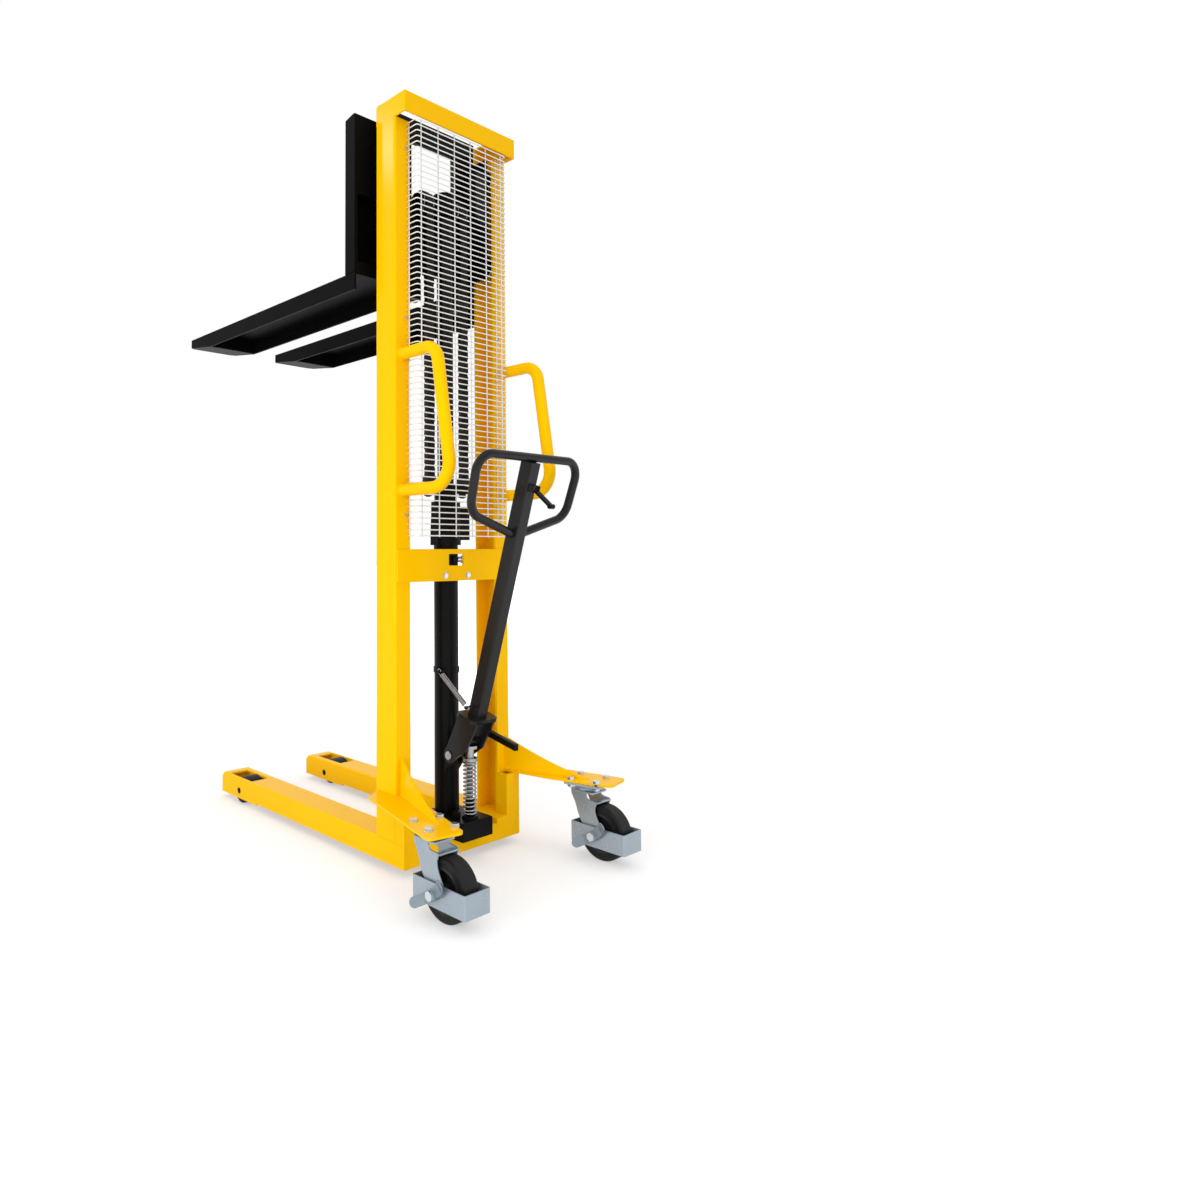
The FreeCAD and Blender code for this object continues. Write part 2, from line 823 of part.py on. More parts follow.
def caster_axle():
    """Axle bolt with its nuts and the spacers between hub, fork legs and guard."""
    def at(x):
        return V(caster_x + x, -axle_reach, axle_height)

    half_guard = guard_width / 2
    leg_outer = caster_leg_gap / 2 + caster_leg_thickness
    brake_end = half_guard + brake_standoff + brake_thickness + 2 * seat_clearance
    axle = drum(caster_axle_diameter, at(-brake_end - caster_nut_height), at(half_guard + caster_nut_height))
    axle = axle.fuse(hexagon(caster_nut_across, at(half_guard), at(half_guard + caster_nut_height)))
    axle = axle.fuse(hexagon(caster_nut_across, at(-brake_end - caster_nut_height), at(-brake_end)))
    spacer = caster_axle_diameter + 2 * guard_wall
    axle = axle.fuse(drum(spacer, at(-half_guard), at(-half_guard - brake_standoff)))
    for side in (-1, 1):
        axle = axle.fuse(drum(spacer, at(side * leg_outer), at(side * (half_guard - guard_wall))))
        axle = axle.fuse(drum(spacer, at(side * (hub_width / 2 + seat_clearance)), at(side * caster_leg_gap / 2)))
    return axle.removeSplitter()


def turned_x(outline, middle):
    """An outline of (radius, x offset) points turned about an X axis through a middle point."""
    points = [middle + V(x, 0, radius) for radius, x in outline]
    face = Part.Face(Part.makePolygon(points + [points[0]]))
    return face.revolve(middle, V(1, 0, 0), 360)


def caster_tyre():
    middle = V(caster_x, -axle_reach, axle_height)
    radius = wheel_diameter / 2
    half = wheel_width / 2
    inner = tyre_inner_diameter / 2
    return turned_x([(inner, -half), (radius - tyre_shoulder, -half),
                     (radius - tyre_shoulder / 3, -half + tyre_shoulder / 3),
                     (radius, -half + tyre_shoulder), (radius, half - tyre_shoulder),
                     (radius - tyre_shoulder / 3, half - tyre_shoulder / 3),
                     (radius - tyre_shoulder, half), (inner, half)], middle)


def caster_hub():
    middle = V(caster_x, -axle_reach, axle_height)
    bore = caster_axle_diameter / 2 + running_clearance
    outer = tyre_inner_diameter / 2
    barrel = hub_barrel_diameter / 2
    half = hub_width / 2
    rim = wheel_width / 2
    web = hub_web / 2
    return turned_x([(bore, -half), (barrel, -half), (barrel, -web), (outer - hub_rim, -web),
                     (outer - hub_rim, -rim), (outer, -rim), (outer, rim), (outer - hub_rim, rim),
                     (outer - hub_rim, web), (barrel, web), (barrel, half), (bore, half)], middle)


def brake_lever(sign):
    """Two-armed brake lever on the outer left end of a caster axle, its ends bent outwards as treads."""
    outer = sign * caster_x - guard_width / 2 - brake_standoff - seat_clearance
    middle = V(outer - brake_thickness, -axle_reach, axle_height)
    plate = V(brake_thickness, 0, 0)
    lever = Part.makeCylinder(brake_boss_diameter / 2, brake_thickness, middle, V(1, 0, 0))
    tilt = math.radians(brake_wing_tilt)
    run = V(0, -math.sin(tilt), math.cos(tilt))
    across = V(0, math.cos(tilt), math.sin(tilt)) * (brake_wing_width / 2)
    tip = middle + run * brake_wing_reach
    foot = middle - run * brake_wing_reach
    lever = lever.fuse(prism([foot - across, tip - across, tip + across, foot + across], plate))
    for end, inward in ((tip, -1), (foot, 1)):
        root = end + run * inward * brake_thickness
        lip = prism([root - across, end - across, end + across, root + across], V(-brake_lip, 0, 0))
        lever = lever.fuse(lip)
    bore = Part.makeCylinder(caster_axle_diameter / 2 + running_clearance,
                             brake_thickness + 2 * cut_overrun, middle - V(cut_overrun, 0, 0), V(1, 0, 0))
    return lever.cut(bore).removeSplitter()


# Side handles: bent tubes on the rear flanges

def side_handle():
    x = half_mast - handle_flange_inset
    corners = [V(x, 0, handle_top), V(x, -handle_top_reach, handle_top),
               V(x, -handle_bottom_reach, handle_bottom), V(x, 0, handle_bottom)]
    return swept_round(bent_path(corners, (handle_top_bend, handle_bottom_bend)), handle_diameter)


# Wire guard: bent cross wires with upright wires welded in front of them

def guard_row(height):
    half = guard_half_width
    outline = [(-half, 0), (-half, -guard_depth), (half, -guard_depth), (half, 0),
               (half - wire, 0), (half - wire, -guard_depth + wire), (-half + wire, -guard_depth + wire),
               (-half + wire, 0)]
    return profile_z(outline, height, height + wire)


def wire_guard():
    wires = [guard_row(guard_low + guard_pitch * row) for row in range(guard_rows)]
    top = guard_low + guard_pitch * (guard_rows - 1) + wire
    face = -guard_depth + wire
    for index in range(guard_uprights):
        x = (index - (guard_uprights - 1) / 2) * guard_upright_pitch
        wires.append(box(V(x - wire / 2, face, guard_low), V(x + wire / 2, face + wire, top)))
    for side in (-1, 1):
        inner = side * (guard_half_width - wire)
        wires.append(box(V(min(inner, inner - side * wire), -2 * wire, guard_low),
                         V(max(inner, inner - side * wire), -wire, top)))
    return wires


def guard_clips():
    """Small clips that hold the guard on the rear flanges."""
    clips = []
    for share in guard_clip_height_shares:
        row = round(share * (guard_rows - 1))
        height = guard_low + guard_pitch * row + (guard_pitch + wire) / 2
        for side in (-1, 1):
            inner = side * (guard_half_width + seat_clearance)
            outer = inner + side * guard_clip_width
            clip = box(V(min(inner, outer), -guard_clip_thickness, height - guard_clip_width / 2),
                       V(max(inner, outer), 0, height + guard_clip_width / 2))
            middle = (inner + outer) / 2
            screw = hexagon(guard_clip_width / 2, V(middle, -guard_clip_thickness, height),
                            V(middle, -2 * guard_clip_thickness, height))
            clips.append(clip.fuse(screw).removeSplitter())
    return clips


# Lift cylinder, its head and the clamp on the cross plate

def cylinder_axis(height):
    return V(0, cylinder_reach, height)


def cylinder_tube():
    tube = drum(cylinder_diameter, cylinder_axis(pump_top), cylinder_axis(cylinder_top))
    bore = drum(cylinder_bore, cylinder_axis(pump_top + cylinder_floor), cylinder_axis(cylinder_top + cut_overrun))
    plug_level = cross_window_bottom + cross_window_height / 2
    rear = cylinder_reach - cylinder_diameter / 2
    boss = drum(plug_boss_diameter, V(0, cylinder_reach - cylinder_bore / 2 - guide_wall, plug_level),
                V(0, rear, plug_level))
    plug = hexagon(plug_across, V(0, rear, plug_level), V(0, rear - plug_height, plug_level))
    return tube.fuse(boss).fuse(plug).cut(bore)


def cylinder_head():
    """Tapered head with a port block on its right, and a neck that carries the yoke for the chain anchors."""
    low = head_bottom
    high = head_top
    rear = cylinder_reach - head_depth / 2
    front = cylinder_reach + head_depth / 2
    outline = [(-head_half_width, low), (head_half_width, low),
               (head_half_width, low + head_taper_height), (head_top_half_width, high),
               (-head_top_half_width, high), (-head_half_width, low + head_taper_height)]
    head = profile_y(outline, rear, front)
    head = head.fuse(drum(head_collar_diameter, cylinder_axis(low), cylinder_axis(high)))
    block_top = high - port_block_drop
    head = head.fuse(box(V(head_collar_diameter / 3, rear, block_top - port_block_height),
                         V(port_block_out, front, block_top)))
    head = head.fuse(drum(neck_diameter, cylinder_axis(high), cylinder_axis(yoke_top)))
    head = head.fuse(box(V(-yoke_half_width, cylinder_reach - yoke_depth / 2, yoke_top - yoke_height),
                         V(yoke_half_width, cylinder_reach + yoke_depth / 2, yoke_top)))
    seat = drum(cylinder_diameter + 2 * running_clearance, cylinder_axis(low - cut_overrun),
                cylinder_axis(cylinder_top))
    gland = drum(rod_diameter + 2 * running_clearance, cylinder_axis(low), cylinder_axis(yoke_top + cut_overrun))
    head = head.cut(seat).cut(gland)
    for side in (-1, 1):
        x = side * chain_out
        head = head.cut(drum(anchor_stud_diameter, V(x, cylinder_reach, yoke_top - yoke_height - cut_overrun),
                             V(x, cylinder_reach, yoke_top + cut_overrun)))
    return head.removeSplitter()


def anchor_bolts():
    """Chain anchors: a stud through each end of the yoke, a nut below and a clevis for the chain."""
    found = []
    for side in (-1, 1):
        x = side * chain_out

        def at(height):
            return V(x, cylinder_reach, height)

        yoke_low = yoke_top - yoke_height
        clevis_low = anchor_top - anchor_clevis_height
        stud = drum(anchor_stud_diameter, at(yoke_low - nut_height - anchor_stud_rise), at(clevis_low))
        stud = stud.fuse(hexagon(nut_across, at(yoke_low - nut_height), at(yoke_low)))
        half = anchor_clevis_width / 2
        clevis = box(V(x - half, chain_rear_reach - chain_plate_height / 2, clevis_low),
                     V(x + half, cylinder_reach + anchor_clevis_front, anchor_top))
        found.append(stud.fuse(clevis).removeSplitter())
    return found


def cylinder_clamp():
    """A strap round the front of the cylinder with two feet against the cross plate."""
    inner = cylinder_diameter / 2 + running_clearance
    outer = inner + clamp_strap
    low = clamp_level - clamp_height / 2
    high = clamp_level + clamp_height / 2
    foot = clamp_bolt_spacing / 2 + clamp_foot / 2
    strap = drum(2 * outer, cylinder_axis(low), cylinder_axis(high))
    sides = box(V(-outer, 0, low), V(outer, cylinder_reach, high))
    feet = box(V(-foot, 0, low), V(foot, clamp_strap, high))
    clamp = strap.common(box(V(-outer, 0, low), V(outer, cylinder_reach + outer, high)))
    clamp = clamp.fuse(sides).fuse(feet)
    clamp = clamp.cut(drum(2 * inner, cylinder_axis(low - cut_overrun), cylinder_axis(high + cut_overrun)))
    clamp = clamp.cut(box(V(-inner, -cut_overrun, low - cut_overrun), V(inner, cylinder_reach, high + cut_overrun)))
    for side in (-1, 1):
        x = side * clamp_bolt_spacing / 2
        clamp = clamp.cut(drum(bolt_diameter, V(x, -cut_overrun, clamp_level), V(x, clamp_strap + cut_overrun,
                                                                              clamp_level)))
    return clamp.removeSplitter()


# Pump block with the plunger guide, and the release valve on its top

def pump_block():
    block = box(V(-pump_half_width, -pump_rear, base_top), V(pump_half_width, pump_front, pump_top))
    block = rounded(block, pump_edge_radius,
                    lambda edge: runs_along(edge, V(0, 0, 1)) or edge.BoundBox.ZMin > pump_top - pump_edge_radius)
    middle = V(0, -plunger_reach, 0)
    guide = drum(plunger_diameter + 2 * guide_wall, middle + V(0, 0, pump_top - pump_edge_radius),
                 middle + V(0, 0, pump_top + guide_height))
    seat = drum(plunger_spring_diameter + 2 * guide_wall, middle + V(0, 0, pump_top - pump_edge_radius),
                middle + V(0, 0, spring_seat))
    bore = drum(plunger_diameter + 2 * running_clearance, middle + V(0, 0, base_top + guide_wall),
                middle + V(0, 0, pump_top + guide_height + cut_overrun))
    return block.fuse(guide).fuse(seat).cut(bore).removeSplitter()


spring_seat = pump_top + 2 * guide_wall


def release_valve():
    """A screw valve in the pump's top with the lower end of its pull link."""
    foot = V(-valve_out, -valve_reach, pump_top)
    shoulder = foot + V(0, 0, valve_height)
    body = hexagon(valve_across, foot, shoulder)
    link = drum(valve_link_diameter, shoulder, shoulder + V(0, 0, valve_link_length))
    return body.fuse(link).removeSplitter()


def plunger():
    def at(height):
        return V(0, -plunger_reach, height)

    cap_top = plunger_cap_bottom + plunger_cap_thickness
    stem = drum(plunger_diameter, at(plunger_low), at(cap_top))
    cap = drum(plunger_cap_diameter, at(plunger_cap_bottom), at(cap_top))
    tip = drum(plunger_tip_diameter, at(cap_top), at(cap_top + plunger_tip_height))
    head = drum(plunger_cap_diameter, at(cap_top + plunger_tip_height - plunger_cap_thickness),
                at(cap_top + plunger_tip_height))
    return stem.fuse(cap).fuse(tip).fuse(head).removeSplitter()


# Collar on the cylinder for the return spring and the lugs for the tiller's pivot

def spring_collar():
    low = collar_height - collar_width / 2
    high = collar_height + collar_width / 2
    outer = cylinder_diameter / 2 + running_clearance + collar_wall
    collar = drum(2 * outer, cylinder_axis(low), cylinder_axis(high))
    stud = drum(collar_stud_diameter, V(-cylinder_diameter / 4, spring_top.y, spring_top.z),
                V(-return_spring_out - return_spring_diameter / 2, spring_top.y, spring_top.z))
    collar = collar.fuse(stud)
    bore = drum(cylinder_diameter + 2 * running_clearance, cylinder_axis(low - cut_overrun),
                cylinder_axis(high + cut_overrun))
    return collar.cut(bore).removeSplitter()


def pivot_bracket():
    """Two lugs on a half collar behind the cylinder, bored for the pivot pin."""
    half_gap = rocker_gap / 2 - seat_clearance
    low = pivot_height - pivot_lug_radius
    high = pivot_height + pivot_lug_radius
    foot = pivot_height - pivot_gusset
    outline = [(-pivot_reach, low), (cylinder_reach / 2, foot), (cylinder_reach, foot),
               (cylinder_reach, high), (-pivot_reach, high)]
    bracket = profile_x(outline, -half_gap, half_gap)
    bracket = bracket.fuse(drum(2 * pivot_lug_radius, V(-half_gap, -pivot_reach, pivot_height),
                                V(half_gap, -pivot_reach, pivot_height)))
    slot_half = half_gap - lug_thickness
    bracket = bracket.cut(box(V(-slot_half, -pivot_reach - 2 * pivot_lug_radius, foot - cut_overrun),
                              V(slot_half, cylinder_reach - cylinder_diameter / 2 - seat_clearance,
                                high + cut_overrun)))
    bracket = bracket.cut(drum(cylinder_diameter + 2 * running_clearance,
                               cylinder_axis(foot - cut_overrun), cylinder_axis(high + cut_overrun)))
    bracket = bracket.cut(drum(pivot_diameter, V(-rocker_gap, -pivot_reach, pivot_height),
                               V(rocker_gap, -pivot_reach, pivot_height)))
    return bracket.removeSplitter()


def pivot_pin():
    end = rocker_gap / 2 + rocker_plate + seat_clearance
    pin = drum(pivot_diameter, V(-end, -pivot_reach, pivot_height), V(end, -pivot_reach, pivot_height))
    for side in (-1, 1):
        head = drum(pivot_diameter + bolt_head, V(side * end, -pivot_reach, pivot_height),
                    V(side * (end + axle_head_thickness), -pivot_reach, pivot_height))
        pin = pin.fuse(head)
    return pin.removeSplitter()


# Piston rod, crosshead with its shaft, sheaves and chains

def piston_rod():
    return drum(rod_diameter, cylinder_axis(rod_end_height), cylinder_axis(sheave_height))


def crosshead():
    low = sheave_height - crosshead_height / 2
    high = sheave_height + crosshead_height / 2
    boss = drum(crosshead_diameter, cylinder_axis(low), cylinder_axis(high))
    half = crosshead_arm_width / 2
    eye = drum(crosshead_eye_diameter, V(-half, sheave_reach, sheave_height), V(half, sheave_reach, sheave_height))
    arm = box(V(-half, cylinder_reach, sheave_height - crosshead_eye_diameter / 2),
              V(half, sheave_reach, sheave_height + crosshead_eye_diameter / 2))
    head = boss.fuse(arm).fuse(eye)
    shaft_end = chain_out + sheave_half_width + sheave_side_gap
    shaft = drum(sheave_shaft_diameter, V(-shaft_end, sheave_reach, sheave_height),
                 V(shaft_end, sheave_reach, sheave_height))
    head = head.fuse(shaft)
    for side in (-1, 1):
        retainer = drum(sheave_shaft_diameter + 2 * shaft_overhang, V(side * shaft_end, sheave_reach, sheave_height),
                        V(side * (shaft_end + shaft_overhang), sheave_reach, sheave_height))
        shoulder = drum(sheave_shaft_diameter + 2 * shaft_overhang, V(side * half, sheave_reach, sheave_height),
                        V(side * (chain_out - sheave_half_width - sheave_side_gap), sheave_reach, sheave_height))
        head = head.fuse(retainer).fuse(shoulder)
    seat = drum(rod_diameter + 2 * running_clearance, cylinder_axis(low - cut_overrun), cylinder_axis(sheave_height))
    return head.cut(seat).removeSplitter()


sheave_half_width = chain_width / 2 + sheave_side_gap + sheave_flange


def sheaves():
    found = []
    groove = chain_width / 2 + sheave_side_gap
    bore = sheave_shaft_diameter / 2 + running_clearance
    for side in (-1, 1):
        middle = V(side * chain_out, sheave_reach, sheave_height)
        outline = [(bore, -sheave_half_width), (sheave_flange_radius, -sheave_half_width),
                   (sheave_flange_radius, -groove - sheave_flange / 3), (sheave_root_radius, -groove),
                   (sheave_root_radius, groove), (sheave_flange_radius, groove + sheave_flange / 3),
                   (sheave_flange_radius, sheave_half_width), (bore, sheave_half_width)]
        found.append(turned_x(outline, middle))
    return found


def chain_run(x, y, low, high):
    """A straight run of leaf chain: link plates drawn in at the waist between their pins."""
    half = chain_plate_height / 2
    waist = half - chain_waist
    links = max(1, round((high - low) / chain_pitch))
    step = (high - low) / links
    front = []
    rear = []
    for link in range(links):
        foot = low + step * link
        for share, reach in zip(link_height_shares, (half, half, waist)):
            front.append((y + reach, foot + step * share))
            rear.append((y - reach, foot + step * share))
    front.append((y + half, high))
    rear.append((y - half, high))
    return profile_x(front + rear[::-1], x - chain_width / 2, x + chain_width / 2)


link_height_shares = (0.0, 0.3, 0.65)


def chain_rear_runs():
    return [chain_run(side * chain_out, chain_rear_reach, anchor_top, sheave_height) for side in (-1, 1)]


def chain_front_runs():
    return [chain_run(side * chain_out, chain_front_reach, lug_bottom + lug_height, sheave_height)
            for side in (-1, 1)]


def chain_wraps():
    """The half turn of chain over each sheave."""
    found = []
    outer = chain_radius + chain_plate_height / 2
    inner = chain_radius - chain_plate_height / 2
    for side in (-1, 1):
        start = V(side * chain_out - chain_width / 2, sheave_reach, sheave_height)
        ring = Part.makeCylinder(outer, chain_width, start, V(1, 0, 0))
        ring = ring.cut(Part.makeCylinder(inner, chain_width, start, V(1, 0, 0)))
        half = box(V(start.x, sheave_reach - outer, sheave_height),
                   V(start.x + chain_width, sheave_reach + outer, sheave_height + outer))
        found.append(ring.common(half))
    return found


# Forks: folded inverted channels with a closed tapered tip, each with its upright shank

def fork():
    low = fork_top - fork_depth
    tip_start = fork_reach - fork_tip_length
    side_outline = [(fork_rear, low), (fork_rear, fork_top), (fork_reach, fork_top),
                    (fork_reach, fork_top - fork_tip_depth), (tip_start, low)]
    blade = profile_x(side_outline, fork_inner, fork_outer)
    for x, inward in ((fork_inner, 1), (fork_outer, -1)):
        corner = [V(x, fork_reach, low - cut_overrun), V(x, fork_reach - fork_tip_chamfer, low - cut_overrun),
                  V(x + inward * fork_tip_chamfer, fork_reach, low - cut_overrun)]
        blade = blade.cut(prism(corner, V(0, 0, fork_depth + 2 * cut_overrun)))
    blade = rounded(blade, fork_edge_radius,
                    lambda edge: runs_along(edge, V(0, 1, 0)) and edge.BoundBox.ZMin > fork_top - fork_plate)
    hollow = box(V(fork_inner + fork_plate, fork_rear - cut_overrun, low - cut_overrun),
                 V(fork_outer - fork_plate, tip_start - fork_plate, fork_top - fork_plate))
    blade = blade.cut(hollow)
    top = fork_top + shank_height
    outline = [(fork_rear, fork_top), (shank_front, fork_top), (shank_front, top - shank_crest),
               (fork_rear + shank_wall, top), (fork_rear, top)]
    shank = profile_x(outline, shank_inner, fork_outer)
    pocket_low = fork_top + shank_pocket_bottom
    pocket = box(V(shank_inner + shank_wall, fork_rear - cut_overrun, pocket_low),
                 V(fork_outer - shank_wall, shank_front - shank_wall, pocket_low + shank_pocket_height))
    upper_low = pocket_low + shank_pocket_height + shank_wall
    core = box(V(shank_inner + shank_wall, fork_rear + shank_wall, upper_low),
               V(fork_outer - shank_wall, shank_front - shank_wall, top - shank_crest - shank_wall))
    core_mouth = box(V(shank_inner + 2 * shank_wall, fork_rear + shank_wall, pocket_low + shank_pocket_height),
                     V(fork_outer - 2 * shank_wall, shank_front - shank_wall, upper_low))
    shank = shank.cut(pocket).cut(core).cut(core_mouth)
    return blade.fuse(shank).removeSplitter()


# Carriage: a windowed back plate, roller carriers with stub pins, and the chain lugs

def back_plate():
    tongue = back_plate_tongue_half_width
    half = back_plate_half_width
    notch = notch_half_width
    foot = fork_top + back_plate_foot
    tongue_low = fork_top - tongue_drop
    notch_top = fork_top + notch_rise
    top = fork_top + back_plate_rise
    right = [(notch, notch_top), (notch, tongue_low), (tongue, tongue_low), (tongue, foot), (half, foot),
             (half, top)]
    left = [(-x, z) for x, z in right[::-1]]
    plate = profile_y(right + left, back_plate_rear, fork_rear)
    window_low = fork_top + window_bottom_rise
    window = box(V(-window_half_width, back_plate_rear - cut_overrun, window_low),
                 V(window_half_width, fork_rear + cut_overrun, fork_top + window_top_rise))
    window = rounded(window, window_radius,
                     lambda edge: runs_along(edge, V(0, 1, 0)) and near(edge.Vertexes[0].Z, window_low))
    plate = plate.cut(window)
    for side in (-1, 1):
        x = side * chain_out
        lug = box(V(x - lug_width / 2, chain_front_reach - chain_plate_height / 2, lug_bottom),
                  V(x + lug_width / 2, back_plate_rear, lug_bottom + lug_height))
        plate = plate.fuse(lug)
    return plate.removeSplitter()


roller_y = column_depth / 2
roller_outer = half_mast - column_web - mast_roller_web_gap
roller_x = roller_outer - mast_roller_width / 2


def roller_carrier():
    low = fork_top + carrier_bottom_rise
    high = fork_top + carrier_top_rise
    outline = [(back_plate_rear, low), (back_plate_rear, high), (carrier_tail, high),
               (carrier_tail, low + carrier_corner), (carrier_tail + carrier_corner, low)]
    carrier = profile_x(outline, carrier_inner, carrier_inner + carrier_thickness)
    for height in (lower_roller_height, upper_roller_height):
        face = carrier_inner + carrier_thickness
        carrier = carrier.fuse(drum(roller_pin_diameter, V(face, roller_y, height),
                                    V(roller_outer, roller_y, height)))
        carrier = carrier.fuse(drum(roller_pin_diameter + 2 * spacer_wall, V(face, roller_y, height),
                                    V(roller_outer - mast_roller_width - seat_clearance, roller_y, height)))
    return carrier.removeSplitter()


def mast_roller(height):
    return barrel_roller(mast_roller_diameter / 2, roller_pin_diameter / 2 + running_clearance,
                         mast_roller_width, mast_roller_edge, V(roller_x, roller_y, height), V(1, 0, 0))


# Tiller: a rectangular tube with a loop grip, on a rocker that works the pump

def tiller_point(x, along, back=0.0):
    """A point of the tiller by side offset, distance up its axis and distance behind the axis."""
    return tiller_root + V(x, 0, 0) + tiller_up * along + tiller_back * back


def tiller_bar(half_width, half_depth, start, end):
    corners = [tiller_point(-half_width, start, -half_depth), tiller_point(half_width, start, -half_depth),
               tiller_point(half_width, start, half_depth), tiller_point(-half_width, start, half_depth)]
    return prism(corners, tiller_up * (end - start))


def tiller_tube():
    end = tiller_top - loop_diameter / 2
    bar = tiller_bar(tiller_width / 2, tiller_depth / 2, tiller_start, end)
    bar = rounded(bar, tiller_wall, lambda edge: runs_along(edge, tiller_up))
    bore = tiller_bar(tiller_width / 2 - tiller_wall, tiller_depth / 2 - tiller_wall,
                      tiller_start - cut_overrun, end - tiller_wall)
    bar = bar.cut(bore)
    ears = []
    root = tiller_depth / 2
    for side in (-1, 1):
        inner = side * (lever_width / 2 + seat_clearance)
        corners = [tiller_point(inner, lever_height - lever_ear, root),
                   tiller_point(inner, lever_height + lever_ear, root),
                   tiller_point(inner, lever_height + lever_ear, root + 2 * lever_ear),
                   tiller_point(inner, lever_height - lever_ear, root + 2 * lever_ear)]
        ears.append(prism(corners, V(side * lever_ear_thickness, 0, 0)))
    for ear in ears:
        bar = bar.fuse(ear)
    hook_end = return_spring_out + return_spring_diameter / 2
    bar = bar.fuse(drum(collar_stud_diameter, spring_foot + V(return_spring_out - tiller_width / 2, 0, 0),
                        spring_foot + V(return_spring_out - hook_end, 0, 0)))
    pin = lever_width / 2 + seat_clearance + lever_ear_thickness
    bar = bar.fuse(drum(lever_pin_diameter, tiller_point(-pin, lever_height, root + lever_ear),
                        tiller_point(pin, lever_height, root + lever_ear)))
    return bar.removeSplitter()


def tiller_loop():
    root = tiller_width / 2
    corners = [tiller_point(root, loop_root_height), tiller_point(loop_corner_half_width, loop_corner_height),
               tiller_point(loop_top_half_width, tiller_top), tiller_point(-loop_top_half_width, tiller_top),
               tiller_point(-loop_corner_half_width, loop_corner_height), tiller_point(-root, loop_root_height)]
    bends = (loop_corner_bend, loop_top_bend, loop_top_bend, loop_corner_bend)
    loop = swept_round(bent_path(corners, bends), loop_diameter)
    clear = tiller_bar(tiller_width / 2, tiller_depth, tiller_start, tiller_top - loop_diameter / 2)
    return loop.cut(clear)


def release_lever():
    """A flat trigger on the tiller's rear face, hung on a pin between two ears."""
    pin = tiller_point(0, lever_height, tiller_depth / 2 + lever_ear)
    droop = math.radians(lever_droop)
    out = tiller_back * math.cos(droop) - tiller_up * math.sin(droop)
    normal = out.cross(V(1, 0, 0))
    half = lever_thickness / 2
    corners = [pin - normal * half, pin + out * lever_length - normal * half,
               pin + out * lever_length + normal * half, pin + normal * half]
    corners = [corner - V(lever_width / 2, 0, 0) for corner in corners]
    lever = prism(corners, V(lever_width, 0, 0))
    lever = lever.fuse(drum(2 * lever_pin_diameter, pin - V(lever_width / 2, 0, 0), pin + V(lever_width / 2, 0, 0)))
    tip = pin + out * lever_length
    lever = lever.fuse(drum(2 * lever_thickness, tip - V(lever_width / 2, 0, 0), tip + V(lever_width / 2, 0, 0)))
    bore = drum(lever_pin_diameter + 2 * running_clearance, pin - V(lever_width, 0, 0), pin + V(lever_width, 0, 0))
    return lever.cut(bore).removeSplitter()


def rocker():
    """Two cheek plates from the pivot up to a flange under the tiller, with the roller that pushes the plunger."""
    inner = rocker_gap / 2
    pivot = V(0, -pivot_reach, pivot_height)
    flange_low = tiller_start - rocker_flange
    depth = rocker_flange_half_depth
    front = tiller_point(0, flange_low, -depth)
    rear = tiller_point(0, flange_low, depth)
    roller = V(0, -plunger_reach, roller_axis_height)
    heel = roller + V(0, -rocker_roller_diameter, -rocker_roller_diameter)
    outline = [(pivot.y + rocker_eye_radius, pivot.z), (front.y, front.z), (rear.y, rear.z),
               (heel.y, heel.z), (pivot.y, pivot.z - rocker_eye_radius)]
    shape = tiller_bar(rocker_flange_half_width, depth, flange_low, tiller_start)
    shape = rounded(shape, rocker_flange_radius, lambda edge: runs_along(edge, tiller_up))
    for side in (-1, 1):
        near_face = side * inner
        far_face = side * (inner + rocker_plate)
        shape = shape.fuse(profile_x(outline, near_face, far_face))
        shape = shape.fuse(drum(2 * rocker_eye_radius, V(near_face, pivot.y, pivot.z),
                                V(far_face, pivot.y, pivot.z)))
    shape = shape.fuse(drum(rocker_roller_diameter, V(-inner, roller.y, roller.z), V(inner, roller.y, roller.z)))
    bore = drum(pivot_diameter + 2 * running_clearance, V(-rocker_gap, pivot.y, pivot.z),
                V(rocker_gap, pivot.y, pivot.z))
    return shape.cut(bore).removeSplitter()


def foot_pedal():
    """A bar beside the rocker's right cheek, bent down to its end."""
    inner = rocker_gap / 2 + rocker_plate
    low = pedal_root_height - pedal_bar_height / 2
    high = pedal_root_height + pedal_bar_height / 2
    outline = [(-pedal_root, low), (-pedal_root, high), (-pedal_reach, high - pedal_drop),
               (-pedal_reach, low - pedal_drop)]
    bar = profile_x(outline, inner, inner + pedal_bar_width)
    return rounded(bar, pedal_edge_radius, lambda edge: not runs_along(edge, V(1, 0, 0))
                   and edge.CenterOfMass.y < -pedal_root)


# Places of the return spring between the collar stud and the rocker's hook
spring_top = V(-return_spring_out, cylinder_reach - cylinder_diameter / 3, collar_height)
spring_foot = tiller_point(-return_spring_out, tiller_start + hook_stud_rise, 0)


def return_spring():
    run = spring_foot - spring_top
    axis = V(run).normalize()
    inset = collar_stud_diameter / 2 + return_spring_hook
    length = run.Length - 2 * inset
    return coil(spring_top + axis * inset, axis, V(1, 0, 0), length, return_spring_diameter,
                return_spring_wire, return_spring_turns, return_spring_hook, "return spring")


def plunger_spring():
    return coil(V(0, -plunger_reach, spring_seat + seat_clearance), V(0, 0, 1), V(1, 0, 0),
                plunger_cap_bottom - spring_seat - 2 * seat_clearance, plunger_spring_diameter,
                plunger_spring_wire, plunger_spring_turns, 0, "plunger spring")


# Fasteners of the frame, as one group

